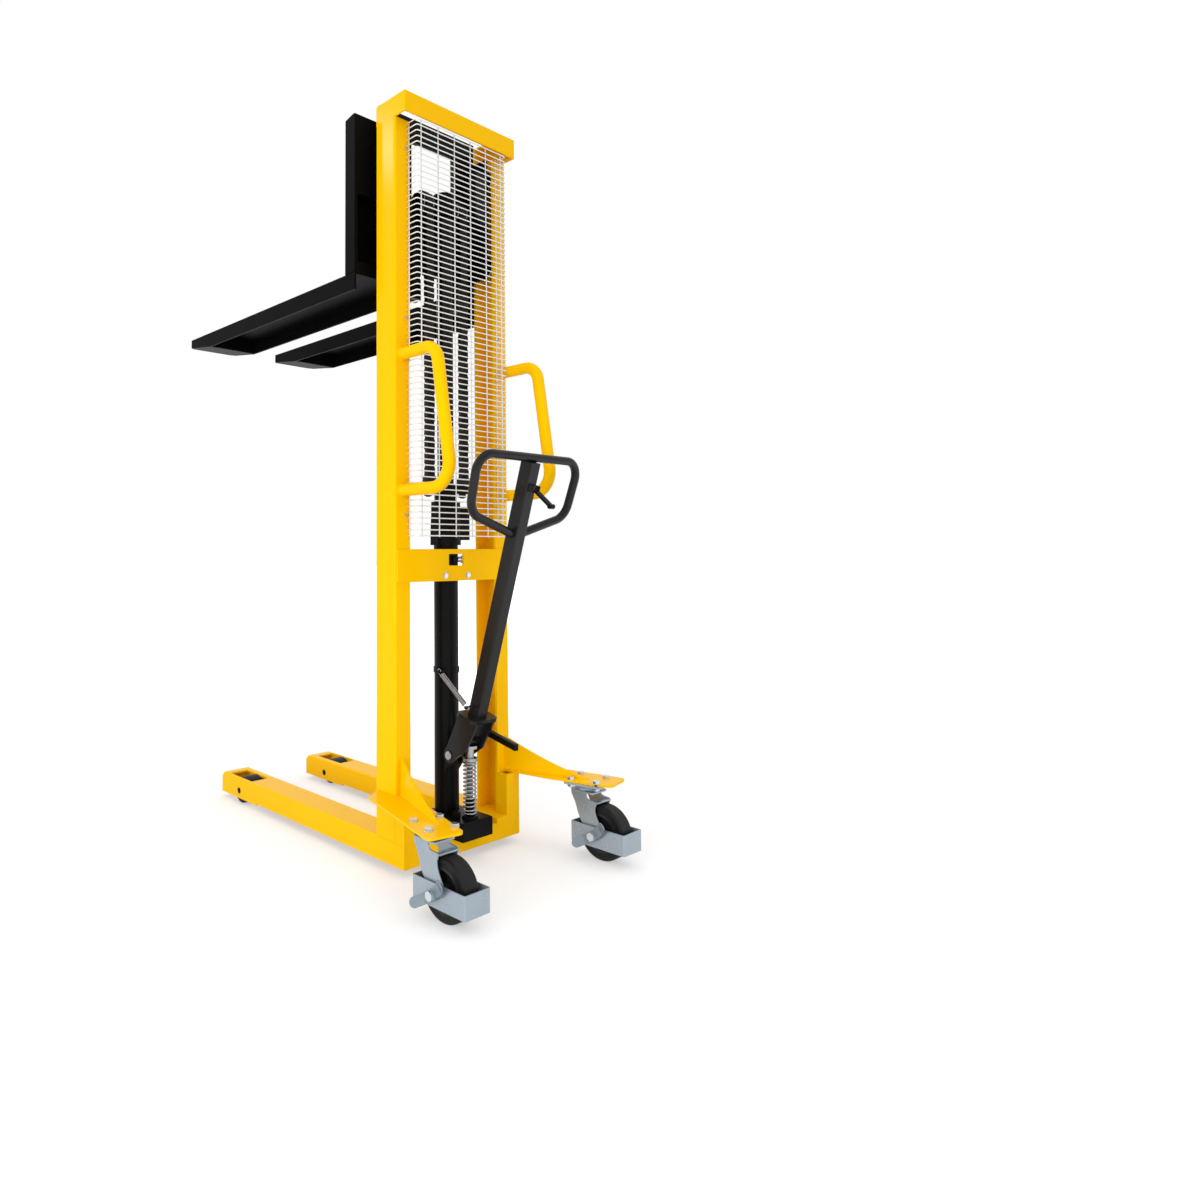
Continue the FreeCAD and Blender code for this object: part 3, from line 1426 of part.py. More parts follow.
def frame_bolts():
    found = []
    plate_top = bracket_plate_bottom + bracket_plate_thickness
    plate_low = bracket_plate_bottom - caster_plate_thickness
    for place in bracket_bolts():
        head = hexagon(bolt_across, V(place.x, place.y, plate_top), V(place.x, place.y, plate_top + bolt_head))
        shank = drum(bolt_diameter, V(place.x, place.y, plate_low), V(place.x, place.y, plate_top))
        found.append(head.fuse(shank).removeSplitter())
        found.append(mirrored(found[-1]))
    for side in (-1, 1):
        x = side * clamp_bolt_spacing / 2
        head = hexagon(small_bolt_across, V(x, -cross_plate_thickness, clamp_level),
                       V(x, -cross_plate_thickness - small_bolt_head, clamp_level))
        shank = drum(bolt_diameter, V(x, -cross_plate_thickness, clamp_level), V(x, clamp_strap, clamp_level))
        found.append(head.fuse(shank).removeSplitter())
    return found


# All pieces

def build():
    keep_pair("mast_column", column())
    keep("top_beam", top_beam())
    keep("mid_cross_plate", cross_plate())
    keep("base_cross_member", base_member())
    keep("column_shoes", column_shoe(), mirrored(column_shoe()))
    keep_pair("support_leg", support_leg())
    load_roller = barrel_roller(load_roller_diameter / 2, load_axle_diameter / 2 + running_clearance,
                                load_roller_width, load_roller_edge,
                                V(roller_middle(), load_roller_reach, load_roller_diameter / 2), V(1, 0, 0))
    keep_pair("load_roller", load_roller)
    keep_pair("caster_bracket", caster_bracket())
    keep("caster_top_plates", caster_top_plate(), mirrored(caster_top_plate()))
    keep_pair("caster_fork", caster_fork())
    keep_pair("caster_guard", caster_guard())
    keep("caster_axle_right", caster_axle())
    keep("caster_axle_left", caster_axle().translate(V(-2 * caster_x, 0, 0)))
    keep_pair("caster_tyre", caster_tyre())
    keep_pair("caster_hub", caster_hub())
    keep("brake_lever_right", brake_lever(1))
    keep("brake_lever_left", brake_lever(-1))
    keep_pair("side_handle", side_handle())
    keep("wire_guard", *wire_guard())
    keep("cylinder_tube", cylinder_tube())
    keep("cylinder_head", cylinder_head())
    keep("chain_anchor_bolts", *anchor_bolts())
    keep("cylinder_clamp", cylinder_clamp())
    keep("pump_block", pump_block())
    keep("release_valve", release_valve())
    keep("pump_plunger", plunger())
    keep("plunger_spring", plunger_spring())
    keep("spring_collar", spring_collar())
    keep("return_spring", return_spring())
    keep("pivot_bracket", pivot_bracket())
    keep("axle_pins", pivot_pin(), load_axle(), mirrored(load_axle()))
    keep("piston_rod", piston_rod())
    keep("crosshead", crosshead())
    keep("chain_sheaves", *sheaves())
    keep("chain_rear_runs", *chain_rear_runs())
    keep("chain_front_runs", *chain_front_runs())
    keep("chain_wraps", *chain_wraps())
    keep_pair("fork", fork())
    keep("carriage_back_plate", back_plate())
    keep("roller_carriers", roller_carrier(), mirrored(roller_carrier()))
    keep_pair("lower_mast_roller", mast_roller(lower_roller_height))
    keep_pair("upper_mast_roller", mast_roller(upper_roller_height))
    keep("tiller_tube", tiller_tube())
    keep("tiller_loop", tiller_loop())
    keep("release_lever", release_lever())
    keep("tiller_rocker", rocker())
    keep("foot_pedal", foot_pedal())
    keep("frame_fasteners", *frame_bolts(), *guard_clips())


build()
os.makedirs("parts", exist_ok=True)
for name, shape in pieces.items():
    shape.translate(frame_shift)
    shape.exportStep("parts/" + name + ".step")
print(len(pieces), "nodes")
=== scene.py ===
import json
import math

import bpy
import numpy as np
from mathutils import Matrix, Vector


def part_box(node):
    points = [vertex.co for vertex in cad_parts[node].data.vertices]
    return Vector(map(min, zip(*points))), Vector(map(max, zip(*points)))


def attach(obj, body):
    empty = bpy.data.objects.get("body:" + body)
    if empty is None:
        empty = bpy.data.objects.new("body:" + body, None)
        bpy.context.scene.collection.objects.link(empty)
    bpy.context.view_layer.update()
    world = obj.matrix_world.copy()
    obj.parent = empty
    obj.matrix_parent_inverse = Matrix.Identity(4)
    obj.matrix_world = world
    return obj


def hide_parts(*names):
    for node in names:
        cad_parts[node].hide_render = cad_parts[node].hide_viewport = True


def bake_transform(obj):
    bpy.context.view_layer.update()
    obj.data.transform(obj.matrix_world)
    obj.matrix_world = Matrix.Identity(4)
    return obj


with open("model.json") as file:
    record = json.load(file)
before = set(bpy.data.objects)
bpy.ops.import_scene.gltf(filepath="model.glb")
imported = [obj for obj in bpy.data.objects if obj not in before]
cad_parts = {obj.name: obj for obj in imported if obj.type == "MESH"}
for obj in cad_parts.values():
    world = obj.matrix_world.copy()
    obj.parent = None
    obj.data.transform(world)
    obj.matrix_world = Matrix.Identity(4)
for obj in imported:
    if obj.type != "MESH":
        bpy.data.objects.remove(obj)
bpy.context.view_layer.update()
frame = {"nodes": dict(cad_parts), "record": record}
nodes = frame["nodes"]
record = frame["record"]

# Hand pallet stacker, metres, in the frame of the solids: X across, +Y towards the fork tips, Z up.
MM = 0.001
ACROSS = np.array([1.0, 0.0, 0.0])
AHEAD = np.array([0.0, 1.0, 0.0])
UP = np.array([0.0, 0.0, 1.0])
HANDS = ("left", "right")
MIRRORS = (-1, 1)

# Camera at the photograph's viewing point: angles in degrees, lens and sensor in millimetres
CAMERA_PLACE = (-1.5586, -1.9865, 0.8102)
CAMERA_YAW = 40.58
CAMERA_PITCH = 3.22
CAMERA_ROLL = -0.11
CAMERA_LENS = 24.90
CAMERA_SENSOR = 36.0
CAMERA_SHIFT = (0.160, -0.081)

# Lamps: place, target, width, height, power in watts, and whether gloss alone shows it
LAMPS = {
    "left_softbox": ((-3.1, -1.2, 0.9), (0, -0.2, 0.6), 2.2, 1.8, 50, False),
    "rear_softbox": ((-0.2, -2.8, 0.35), (0, -0.3, 0.2), 2.4, 0.6, 12, False),
    "top_softbox": ((0.2, 0.2, 4.2), (0, 0, 0), 3.0, 3.0, 42, False),
    "window_glint": ((-2.12, 2.1, 3.4), (-0.2, -0.3, 1.87), 0.25, 0.3, 6, True),
}

# World: strength as light, and as it is seen
WHITE = "#FFFFFF"
WORLD_LIGHT = 0.8
WORLD_SEEN = 1.0

# Floor: half its size, its grey, and the distances between which its glow grows between two strengths
FLOOR_HALF = 30.0
FLOOR_GREY = "#CFCFCF"
FLOOR_FADE = (1.0, 2.6)
FLOOR_GLOW = (0.42, 1.05)

# Points round a section or a turned piece
WIRE_SIDES = 8
SCREW_STEPS = 20
NECK_STEPS = 24
WASHER_STEPS = 32
BOSS_STEPS = 40
RACE_STEPS = 48
TYRE_STEPS = 96

# Surface textures: noise detail, and samples of the softened edges
DRIFT_DETAIL = 4.0
GRAIN_DETAIL = 2.0
EDGE_SAMPLES = 4

# Sockets of a colour mix
MIX_FACTOR = 0
MIX_FIRST = 6
MIX_SECOND = 7
MIX_RESULT = 2

# Springs
PLUNGER_TURNS = 14
PLUNGER_WIRE = 5.0 * MM
PLUNGER_SIDES = 10
RETURN_TURNS = 36
RETURN_WIRE = 2.4 * MM
RETURN_COIL = 14.0 * MM
STUD_RADIUS = 4.0 * MM
HOOK_INSET = 14.0 * MM
HOOK_SWEEP = (math.radians(90), math.radians(-162))
HOOK_STEPS = 24
HOOK_LEG_STEPS = 6
COIL_STEPS = 20

# Leaf chain
CHAIN_PITCH = 19.05 * MM
CHAIN_PLATE_HALF = 7.4 * MM
CHAIN_WAIST_HALF = 6.4 * MM
CHAIN_PLATE = 1.9 * MM
CHAIN_HALF_WIDTH = 14.0 * MM
CHAIN_PIN_RADIUS = 2.6 * MM
CHAIN_PIN_HALF = 13.9 * MM
CHAIN_PIN_SHARES = np.array([-1.0, -0.94, 0.94, 1.0])
CHAIN_PIN_RADIUS_SHARES = np.array([0.7, 1.0, 1.0, 0.7])
LINK_END = np.radians(np.linspace(-75, 75, 7))
OUTER_PLATES = np.array([-12.6, -8.4, -4.2, 0.0, 4.2, 8.4, 12.6]) * MM
INNER_PLATES = np.array([-10.5, -6.3, -2.1, 2.1, 6.3, 10.5]) * MM
WRAP_PINS = 6

# Wire guard
GUARD_WIRE = 3.2 * MM
GUARD_ROWS = 73
GUARD_UPRIGHTS = 6
GUARD_UPRIGHT_PITCH = 60.4 * MM
GUARD_BEND = 6.0 * MM
GUARD_BEND_STEPS = 6

# Rear faces of the columns and of the cross plate
COLUMN_REAR = -361.5 * MM
CROSS_PLATE_REAR = -367.5 * MM

# Hexagons: steps round, cone as shares of the width across flats, levels as shares of the height
HEX_STEPS = 48
HEX_CONE = np.array([1.0, 0.58, 0.485])
HEX_LEVELS = np.array([0.0, 0.8, 1.0])

# Caster bolts, in the plan of the right bracket. Profiles here and below: radius, then height
CASTER_PLACE = np.array([280.0, -581.5]) * MM
BOLT_SPLAY = math.radians(14)
BOLT_ACROSS = 33.0 * MM
BOLT_ALONG = 36.0 * MM
BRACKET_TOP = 196.0 * MM
CASTER_PLATE_LOW = 185.0 * MM
BOLT_SIZE = 17.0 * MM
BOLT_HEAD = 5.4 * MM
BOLT_WASHER_HEIGHT = 1.6 * MM
BOLT_WASHER = np.array([(10.54, 0), (10.54, 1.3), (9.52, 1.6)]) * MM
BOLT_THREAD = np.array([(5, 0), (5, 9), (4, 10)]) * MM
NUT_HEIGHT = 7.0 * MM

# Clamp bolts in the cross plate: place across and up, head across flats and height
CLAMP_BOLT_PLACE = (42.0 * MM, 740.45 * MM)
CLAMP_WASHER_HEIGHT = 1.4 * MM
CLAMP_WASHER = np.array([(8.5, 0), (8.5, 1.4)]) * MM
CLAMP_HEAD = (13.0 * MM, 4.0 * MM)

# Clips of the guard
CLIP_HEIGHTS = (898.6 * MM, 1413.35 * MM, 1867.55 * MM)
CLIP_SPAN = (170.3 * MM, 184.3 * MM)
CLIP_SHEET = 2.5 * MM
CLIP_HALF_HEIGHT = 7.0 * MM
CLIP_SCREW = np.array([(3.6, 0), (3.5, 1.2), (2.6, 2.1), (1.0, 2.5)]) * MM

# Pivot pin of the tiller
PIVOT_REACH = 8.0 * MM
PIVOT_HEIGHT = 268.0 * MM
PIVOT_HALF = 38.3 * MM
PIVOT_CAP = np.array([(9.5, 0), (11.5, 1.6), (11.5, 5), (8, 5)]) * MM

# Pins of the load rollers
ROLLER_PIN_RADIUS = 8.0 * MM
ROLLER_PIN_END_RADIUS = 6.0 * MM
ROLLER_PIN_CHAMFER = 1.5 * MM
ROLLER_PIN_PROUD = 1.5 * MM

# Filler plug on the tube, behind the window of the cross plate: head across flats and height
TUBE_REACH = 36.0 * MM
TUBE_RADIUS = 33.0 * MM
PLUG_HEIGHT = 783.0 * MM
PLUG_TURN = math.radians(38)
PLUG_SINK = 1.0 * MM
PLUG_NECK_LENGTH = 9.0 * MM
PLUG_NECK = np.array([(7.5, 0), (7.5, 9)]) * MM
PLUG_HEAD = (20.0 * MM, 11.0 * MM)

# Tyres: the ring's points go out from the bore and in from the wall
TYRE_WALL = 20.0 * MM
TYRE_BEND = 7.0 * MM
TYRE_BEND_STEPS = 7
TYRE_RING = np.array([(0, 0), (4, 0), (4.6, -0.5), (6, -0.5), (6.6, 0)]) * MM
TYRE_SEAM_HALF = 0.4 * MM

# Caster yokes: places ahead of the axle and above it, in the plane of a leg
YOKE_LEG = np.array([(0, -18), (13, -13), (49, 16), (63.5, 40), (72, 64), (85, 97), (42, 97), (31, 83),
                     (5, 78.5), (9, 61), (5, 43), (-11, 14), (-18, 0), (-13, -13)]) * MM
YOKE_LEG_STEPS = 6
YOKE_GAP = 56.0 * MM
YOKE_SHEET = 4.0 * MM
YOKE_EDGE = 0.8 * MM
YOKE_ARCH = (74.5 * MM, 78.5 * MM)
YOKE_ARCH_TURN = np.radians(np.linspace(2, 28, 12))
YOKE_ARCH_EDGE = 0.4 * MM
CROWN_HALF = (33.0 * MM, 37.0 * MM)
CROWN_LEVELS = (165.7 * MM, 170.7 * MM)
CROWN_CORNER = 8.0 * MM
CORNER_STEPS = 10
SWIVEL_TRAIL = 52.0 * MM
RACE = np.array([(30, 0), (33, 1.2), (35.6, 5), (35.6, 6.4), (34.4, 7), (35.6, 7.6), (35.6, 9), (33, 12.8),
                 (30, 14)]) * MM
KING_PIN = np.array([(8, 0), (8, 19)]) * MM

# Brake levers: tilts from upright towards the rear, lengths along the sheet
LEVER_TILTS = (math.radians(47), math.radians(240))
LEVER_ROOT = 9.5 * MM
LEVER_FLAT = 28.0 * MM
LEVER_BEND = 9.0 * MM
LEVER_ANGLE = math.radians(33)
LEVER_LENGTH = 66.0 * MM
LEVER_STEPS = 31
LEVER_HALF_WIDTH = 12.0 * MM
LEVER_SHEET = 3.0 * MM
LEVER_ROUNDING_SHARE = 0.96
LEVER_RING = np.array([(6.3, 0), (13, 0), (13, 3.4), (12.4, 4), (6.3, 4)]) * MM

# Welds: reaches are measured from the rear face of the columns
BEAD_RADIUS = 2.6 * MM
BEAD_RIPPLE = 3.4 * MM
BEAD_RIPPLE_SHARE = 0.16
BEAD_RIPPLE_STEPS = 6
HANDLE_WELD_BACK = 1.0 * MM
HANDLE_WELD_STEPS = 216
WEB_WELD_ACROSS = (188.0 * MM, 269.0 * MM)
WEB_WELD_BACK = 222.0 * MM
WEB_WELD_OFFSETS = (0.0, 5.6 * MM)
WEB_WELD_RISE = 0.8 * MM
HEEL_WELD_ACROSS = (142.0 * MM, 256.0 * MM)
HEEL_WELD_REACH = 152.5 * MM
HEEL_WELD_HEIGHT = 1548.5 * MM
SHANK_WELD_ACROSS = 180.5 * MM
SHANK_WELD_REACH = 109.5 * MM
SHANK_WELD_HEIGHTS = (1556.0 * MM, 1974.0 * MM)


# Meshes from whole arrays

def ring_faces(count, rows, columns, first, closed):
    """Corner numbers of a stack of grids: of its quads, wrapped round the columns, and of all its points."""
    grid = first + np.arange(count * rows * columns).reshape(count, rows, columns)
    ahead = np.roll(grid, -1, axis=1)
    here = grid
    if not closed:
        ahead = ahead[:, :-1]
        here = grid[:, :-1]
    quads = np.stack([here, np.roll(here, -1, axis=2), np.roll(ahead, -1, axis=2), ahead], axis=-1)
    return quads.reshape(-1, 4), grid


def piece(name, grids, material, body, replaced=(), closed=False, smooth=True):
    """One object from grids of points, each (rows, columns, 3), wrapped round the columns.

    Open grids get a flat cap over their first and last row, closed ones also wrap round the rows.
    A piece without a body is left for the caller to blend or to put on one.
    """
    points = []
    faces = []
    first = 0
    for grid in grids:
        stack = np.asarray(grid, float)
        stack = stack.reshape((-1,) + stack.shape[-3:])
        count, rows, columns, _ = stack.shape
        quads, numbers = ring_faces(count, rows, columns, first, closed)
        faces += quads.tolist()
        if not closed:
            faces += numbers[:, 0, ::-1].tolist()
            faces += numbers[:, -1, :].tolist()
        points.append(stack.reshape(-1, 3))
        first += count * rows * columns
    mesh = bpy.data.meshes.new(name)
    mesh.from_pydata(np.concatenate(points).tolist(), [], faces)
    mesh.polygons.foreach_set("use_smooth", np.full(len(mesh.polygons), smooth))
    mesh.update()
    made = bpy.data.objects.new(name, mesh)
    bpy.context.scene.collection.objects.link(made)
    made.data.materials.append(material)
    if body:
        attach(made, body)
    if replaced:
        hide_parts(*replaced)
    return made


def centre(node):
    """Middle of a node's box."""
    low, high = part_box(node)
    return np.array([(low.x + high.x) / 2, (low.y + high.y) / 2, (low.z + high.z) / 2])


def full_turn(count):
    """Angles all the way round, without the last, which is the first again."""
    return np.linspace(0, 2 * math.pi, count, endpoint=False)


def directions(path):
    """Unit direction at each point of a path, from its neighbours on both sides."""
    run = np.gradient(path, axis=-2)
    return run / np.linalg.norm(run, axis=-1, keepdims=True)


def tube(path, side, radius, sides):
    """A round wire: p(u, v) = path(u) + r(u) (cos v side(u) + sin v (direction(u) x side(u)))."""
    path = np.asarray(path, float)
    side = np.broadcast_to(np.asarray(side, float), path.shape)
    other = np.cross(directions(path), side)
    turn = full_turn(sides)[:, None]
    reach = np.broadcast_to(np.asarray(radius, float), path.shape[:-1])[..., None, None]
    around = np.cos(turn) * side[..., None, :] + np.sin(turn) * other[..., None, :]
    return path[..., None, :] + reach * around


def helix(base, axis, side, radius, turns, heights):
    """A coil: p(t) = base + axis h(t) + radius (cos 2 pi n t side + sin 2 pi n t (axis x side)).

    The second result is the bracket alone, which points out from the axis.
    """
    share = np.linspace(0, 1, len(heights))[:, None]
    angle = 2 * math.pi * turns * share
    around = np.cos(angle) * side + np.sin(angle) * np.cross(axis, side)
    return base + axis * heights[:, None] + radius * around, around


def lathe(profile, middle, axis, side, count):
    """A turned surface: p(u, v) = middle + axis a(u) + r(u) (cos v side + sin v (axis x side))."""
    profile = np.asarray(profile, float)[:, None]
    turn = full_turn(count)[:, None]
    around = np.cos(turn) * side + np.sin(turn) * np.cross(axis, side)
    return middle + profile[..., 1:] * axis + profile[..., :1] * around


def hex_head(across, height, middle, axis, side):
    """A hexagon with its corners turned off at the end.

    The radius is r(u, v) = min(half / cos((v + 30) mod 60 - 30), cone(u)), in degrees, at three levels u.
    """
    turn = full_turn(HEX_STEPS)
    flats = across / 2 / np.cos((turn + math.pi / 6) % (math.pi / 3) - math.pi / 6)
    radius = np.minimum(flats, across * HEX_CONE[:, None])[..., None]
    around = np.cos(turn)[:, None] * side + np.sin(turn)[:, None] * np.cross(axis, side)
    along = height * HEX_LEVELS[:, None, None]
    return middle + along * axis + radius * around


def block(low, high):
    """A plain block as a grid of two rows of four corners."""
    plan = np.array([[low[0], low[1]], [high[0], low[1]], [high[0], high[1]], [low[0], high[1]]])
    return np.stack([np.column_stack([plan, np.full(4, z)]) for z in (low[2], high[2])])


def smooth_outline(points, steps):
    """A closed curve through points, with a cubic between each two of them.

    p(t) = b + t (c - a) / 2 + t^2 (2a - 5b + 4c - d) / 2 + t^3 (3b - a - 3c + d) / 2.
    """
    a, b, c, d = (np.roll(points, shift, axis=0)[:, None] for shift in (1, 0, -1, -2))
    t = np.linspace(0, 1, steps, endpoint=False)[:, None]
    slope = (c - a) / 2
    bow = (2 * a - 5 * b + 4 * c - d) / 2
    twist = (3 * b - a - 3 * c + d) / 2
    return (b + t * slope + t ** 2 * bow + t ** 3 * twist).reshape(-1, 2)


def rounded_rectangle(half_x, half_y, radius):
    """A rectangle's outline with an equal share of the points on the quarter circle at each corner."""
    count = 4 * CORNER_STEPS
    turn = full_turn(count) + math.pi / count
    way = np.stack([np.cos(turn), np.sin(turn)], axis=1)
    return np.sign(way) * np.array([half_x - radius, half_y - radius]) + radius * way


def plate(outline, low, high, edge):
    """A flat plate on an outline that runs against the clock, drawn in by a small edge at both faces."""
    run = np.roll(outline, -1, axis=0) - np.roll(outline, 1, axis=0)
    run = run / np.linalg.norm(run, axis=1, keepdims=True)
    inset = outline - edge * np.stack([run[:, 1], -run[:, 0]], axis=1)
    levels = ((inset, low), (outline, low + edge), (outline, high - edge), (inset, high))
    return np.stack([np.column_stack([shape, np.full(len(shape), level)]) for shape, level in levels])


def bead(path, side):
    """A weld bead: a wire whose radius ripples as r(s) = R (1 + share cos(2 pi s / ripple))."""
    path = np.asarray(path, float)
    steps = np.linalg.norm(np.diff(path, axis=0), axis=1)
    run = np.concatenate([[0.0], np.cumsum(steps)])
    radius = BEAD_RADIUS * (1 + BEAD_RIPPLE_SHARE * np.cos(2 * math.pi * run / BEAD_RIPPLE))
    return tube(path, side, radius, WIRE_SIDES)


def seam(start, end, side):
    """A straight weld bead, with the same few points to each ripple whatever its length."""
    start = np.asarray(start, float)
    end = np.asarray(end, float)
    count = int(BEAD_RIPPLE_STEPS * np.linalg.norm(end - start) / BEAD_RIPPLE) + 2
    return bead(start + (end - start) * np.linspace(0, 1, count)[:, None], side)


# Materials

def linear(code):
    """An sRGB hex colour as linear light, opaque."""
    value = np.array([int(code[i:i + 2], 16) for i in (1, 3, 5)]) / 255
    value = np.where(value <= 0.04045, value / 12.92, ((value + 0.055) / 1.055) ** 2.4)
    return (*value.tolist(), 1.0)


def add(tree, kind, settings=None, sockets=None, links=None):
    """Add a node with its settings, its socket values and its links."""
    node = tree.nodes.new(kind)
    for key, value in (settings or {}).items():
        setattr(node, key, value)
    for key, value in (sockets or {}).items():
        node.inputs[key].default_value = value
    for key, source in (links or {}).items():
        tree.links.new(source, node.inputs[key])
    return node


def empty_tree(owner):
    """The owner's node tree, cleared."""
    owner.use_nodes = True
    owner.node_tree.nodes.clear()
    return owner.node_tree


def per_metre(size_mm):
    """Texture scale for a pattern whose features are about this many millimetres across."""
    return 1 / (size_mm * MM)


def finish(name, colours, blotch_mm, roughness, grain_mm, depth_mm, shader, edge_mm=0.0,
           stretch=(1.0, 1.0, 1.0)):
    """A surface with slow colour and gloss drift, a fine raised grain and softened edges.

    Colours and roughness are pairs that one noise runs between. The grain is a second noise, as bump.
    Shader holds the values that are the same all over.
    """
    material = bpy.data.materials.new(name)
    tree = empty_tree(material)
    place = add(tree, "ShaderNodeTexCoord")
    spread = add(tree, "ShaderNodeMapping", sockets={"Scale": stretch},
                 links={"Vector": place.outputs["Object"]})
    drift = add(tree, "ShaderNodeTexNoise", sockets={"Scale": per_metre(blotch_mm), "Detail": DRIFT_DETAIL},
                links={"Vector": spread.outputs["Vector"]})
    colour = add(tree, "ShaderNodeMix", {"data_type": "RGBA"},
                 {MIX_FIRST: linear(colours[0]), MIX_SECOND: linear(colours[1])},
                 {MIX_FACTOR: drift.outputs["Fac"]})
    gloss = add(tree, "ShaderNodeMapRange", sockets={"To Min": roughness[0], "To Max": roughness[1]},
                links={"Value": drift.outputs["Fac"]})
    grain = add(tree, "ShaderNodeTexNoise", sockets={"Scale": per_metre(grain_mm), "Detail": GRAIN_DETAIL},
                links={"Vector": spread.outputs["Vector"]})
    bump = add(tree, "ShaderNodeBump", sockets={"Strength": 1.0, "Distance": depth_mm * MM},
               links={"Height": grain.outputs["Fac"]})
    if edge_mm:
        edge = add(tree, "ShaderNodeBevel", {"samples": EDGE_SAMPLES}, {"Radius": edge_mm * MM})
        tree.links.new(edge.outputs["Normal"], bump.inputs["Normal"])
    surface = add(tree, "ShaderNodeBsdfPrincipled", sockets=shader,
                  links={"Base Color": colour.outputs[MIX_RESULT], "Roughness": gloss.outputs["Result"],
                         "Normal": bump.outputs["Normal"]})
    add(tree, "ShaderNodeOutputMaterial", links={"Surface": surface.outputs["BSDF"]})
    return material


def yellow_enamel():
    """Stoved enamel on steel: an even warm yellow with a faint orange-peel ripple."""
    return finish("stoved_yellow_enamel", ("#FFC000", "#FFC600"), blotch_mm=90.0, roughness=(0.14, 0.20),
                  grain_mm=3.0, depth_mm=0.008, shader={"IOR": 1.5, "Specular IOR Level": 0.05}, edge_mm=1.2)


def black_enamel():
    """Semi-gloss powder coat on steel: near black, its fine grit spreads the highlights."""
    return finish("black_powder_coat", ("#0A0A0A", "#0F0F10"), blotch_mm=60.0, roughness=(0.28, 0.36),
                  grain_mm=1.6, depth_mm=0.012, shader={"IOR": 1.5, "Specular IOR Level": 0.07}, edge_mm=1.2)


def fork_paint():
    """Satin black paint on the forks and their shanks: deeper and flatter than the powder coat."""
    return finish("satin_black_paint", ("#070707", "#0B0B0B"), blotch_mm=60.0, roughness=(0.42, 0.52),
                  grain_mm=1.6, depth_mm=0.012, shader={"IOR": 1.5, "Specular IOR Level": 0.03}, edge_mm=1.2)


def tiller_enamel():
    """Gloss enamel on the tiller, worn by hands: a shade paler than the powder coat."""
    return finish("black_gloss_enamel", ("#1A1A1B", "#222223"), blotch_mm=70.0, roughness=(0.16, 0.24),
                  grain_mm=2.4, depth_mm=0.008, shader={"IOR": 1.5, "Specular IOR Level": 0.16}, edge_mm=1.2)


def white_wire():
    """White plastic dip on steel wire: smooth, slightly soft gloss."""
    return finish("white_dipped_wire", ("#ECECEA", "#F4F4F2"), blotch_mm=40.0, roughness=(0.32, 0.40),
                  grain_mm=2.0, depth_mm=0.01, shader={"IOR": 1.5, "Specular IOR Level": 0.3})


def zinc_plate():
    """Zinc plate with a blue passivation on the casters: cool grey with cloudy gloss."""
    return finish("blue_passivated_zinc", ("#98A5B0", "#A4B0BA"), blotch_mm=40.0, roughness=(0.24, 0.32),
                  grain_mm=1.2, depth_mm=0.002, shader={"Metallic": 0.5}, edge_mm=1.2)


def shaded_lever_zinc():
    """Dull zinc plate on the brake levers, with painted shade: a shade darker than the yokes, so the wings
    read as shaded against the legs.
    """
    return finish("dull_zinc_painted_shade", ("#808C95", "#8E99A1"), blotch_mm=30.0, roughness=(0.30, 0.40),
                  grain_mm=1.2, depth_mm=0.004, shader={"Metallic": 0.6}, edge_mm=1.2)


def bright_zinc():
    """Bright chromated zinc on bolts, nuts and axles: pale, with sharp highlights."""
    return finish("bright_chromated_zinc", ("#C6CFD5", "#D6DDE2"), blotch_mm=9.0, roughness=(0.14, 0.24),
                  grain_mm=1.0, depth_mm=0.006, shader={"Metallic": 0.85}, edge_mm=0.8)


def rod_painted_dark_reflection():
    """Ground steel rod with a painted dark reflection: near black as if mirroring dark surroundings, glossy,
    with very fine grinding rings.
    """
    return finish("rod_painted_dark_reflection", ("#1B1B1D", "#262628"), blotch_mm=50.0, roughness=(0.16, 0.24),
                  grain_mm=1.4, depth_mm=0.003, shader={"Metallic": 0.9}, edge_mm=0.8,
                  stretch=(0.05, 0.05, 1.0))


def spring_wire():
    """Bright plated spring wire: clean and shiny."""
    return finish("bright_spring_wire", ("#8F9396", "#B4B8BB"), blotch_mm=8.0, roughness=(0.14, 0.24),
                  grain_mm=0.8, depth_mm=0.004, shader={"Metallic": 1.0})


def chain_steel():
    """Oiled dark chain steel: black-brown with an oily sheen."""
    return finish("oiled_chain_steel", ("#141312", "#211F1D"), blotch_mm=9.0, roughness=(0.30, 0.46),
                  grain_mm=0.9, depth_mm=0.01, shader={"Metallic": 0.6})


def tyre_rubber():
    """Moulded black tread rubber: dull, with a dusty mottling."""
    return finish("moulded_black_rubber", ("#0A0A0A", "#151516"), blotch_mm=22.0, roughness=(0.46, 0.60),
                  grain_mm=1.1, depth_mm=0.03, shader={"IOR": 1.5, "Specular IOR Level": 0.28}, edge_mm=0.8)


def hub_nylon():
    """Moulded dark grey nylon hub: satin with soft flow marks."""
    return finish("moulded_grey_nylon", ("#1C1D1E", "#29292B"), blotch_mm=30.0, roughness=(0.38, 0.50),
                  grain_mm=1.4, depth_mm=0.015, shader={"IOR": 1.53, "Specular IOR Level": 0.3}, edge_mm=0.8)


def machined_steel():
    """Machined bright steel: pale grey with a fine tooled grain."""
    return finish("turned_bright_steel", ("#8F9295", "#A9ACAF"), blotch_mm=12.0, roughness=(0.24, 0.36),
                  grain_mm=0.9, depth_mm=0.008, shader={"Metallic": 1.0}, edge_mm=0.8)


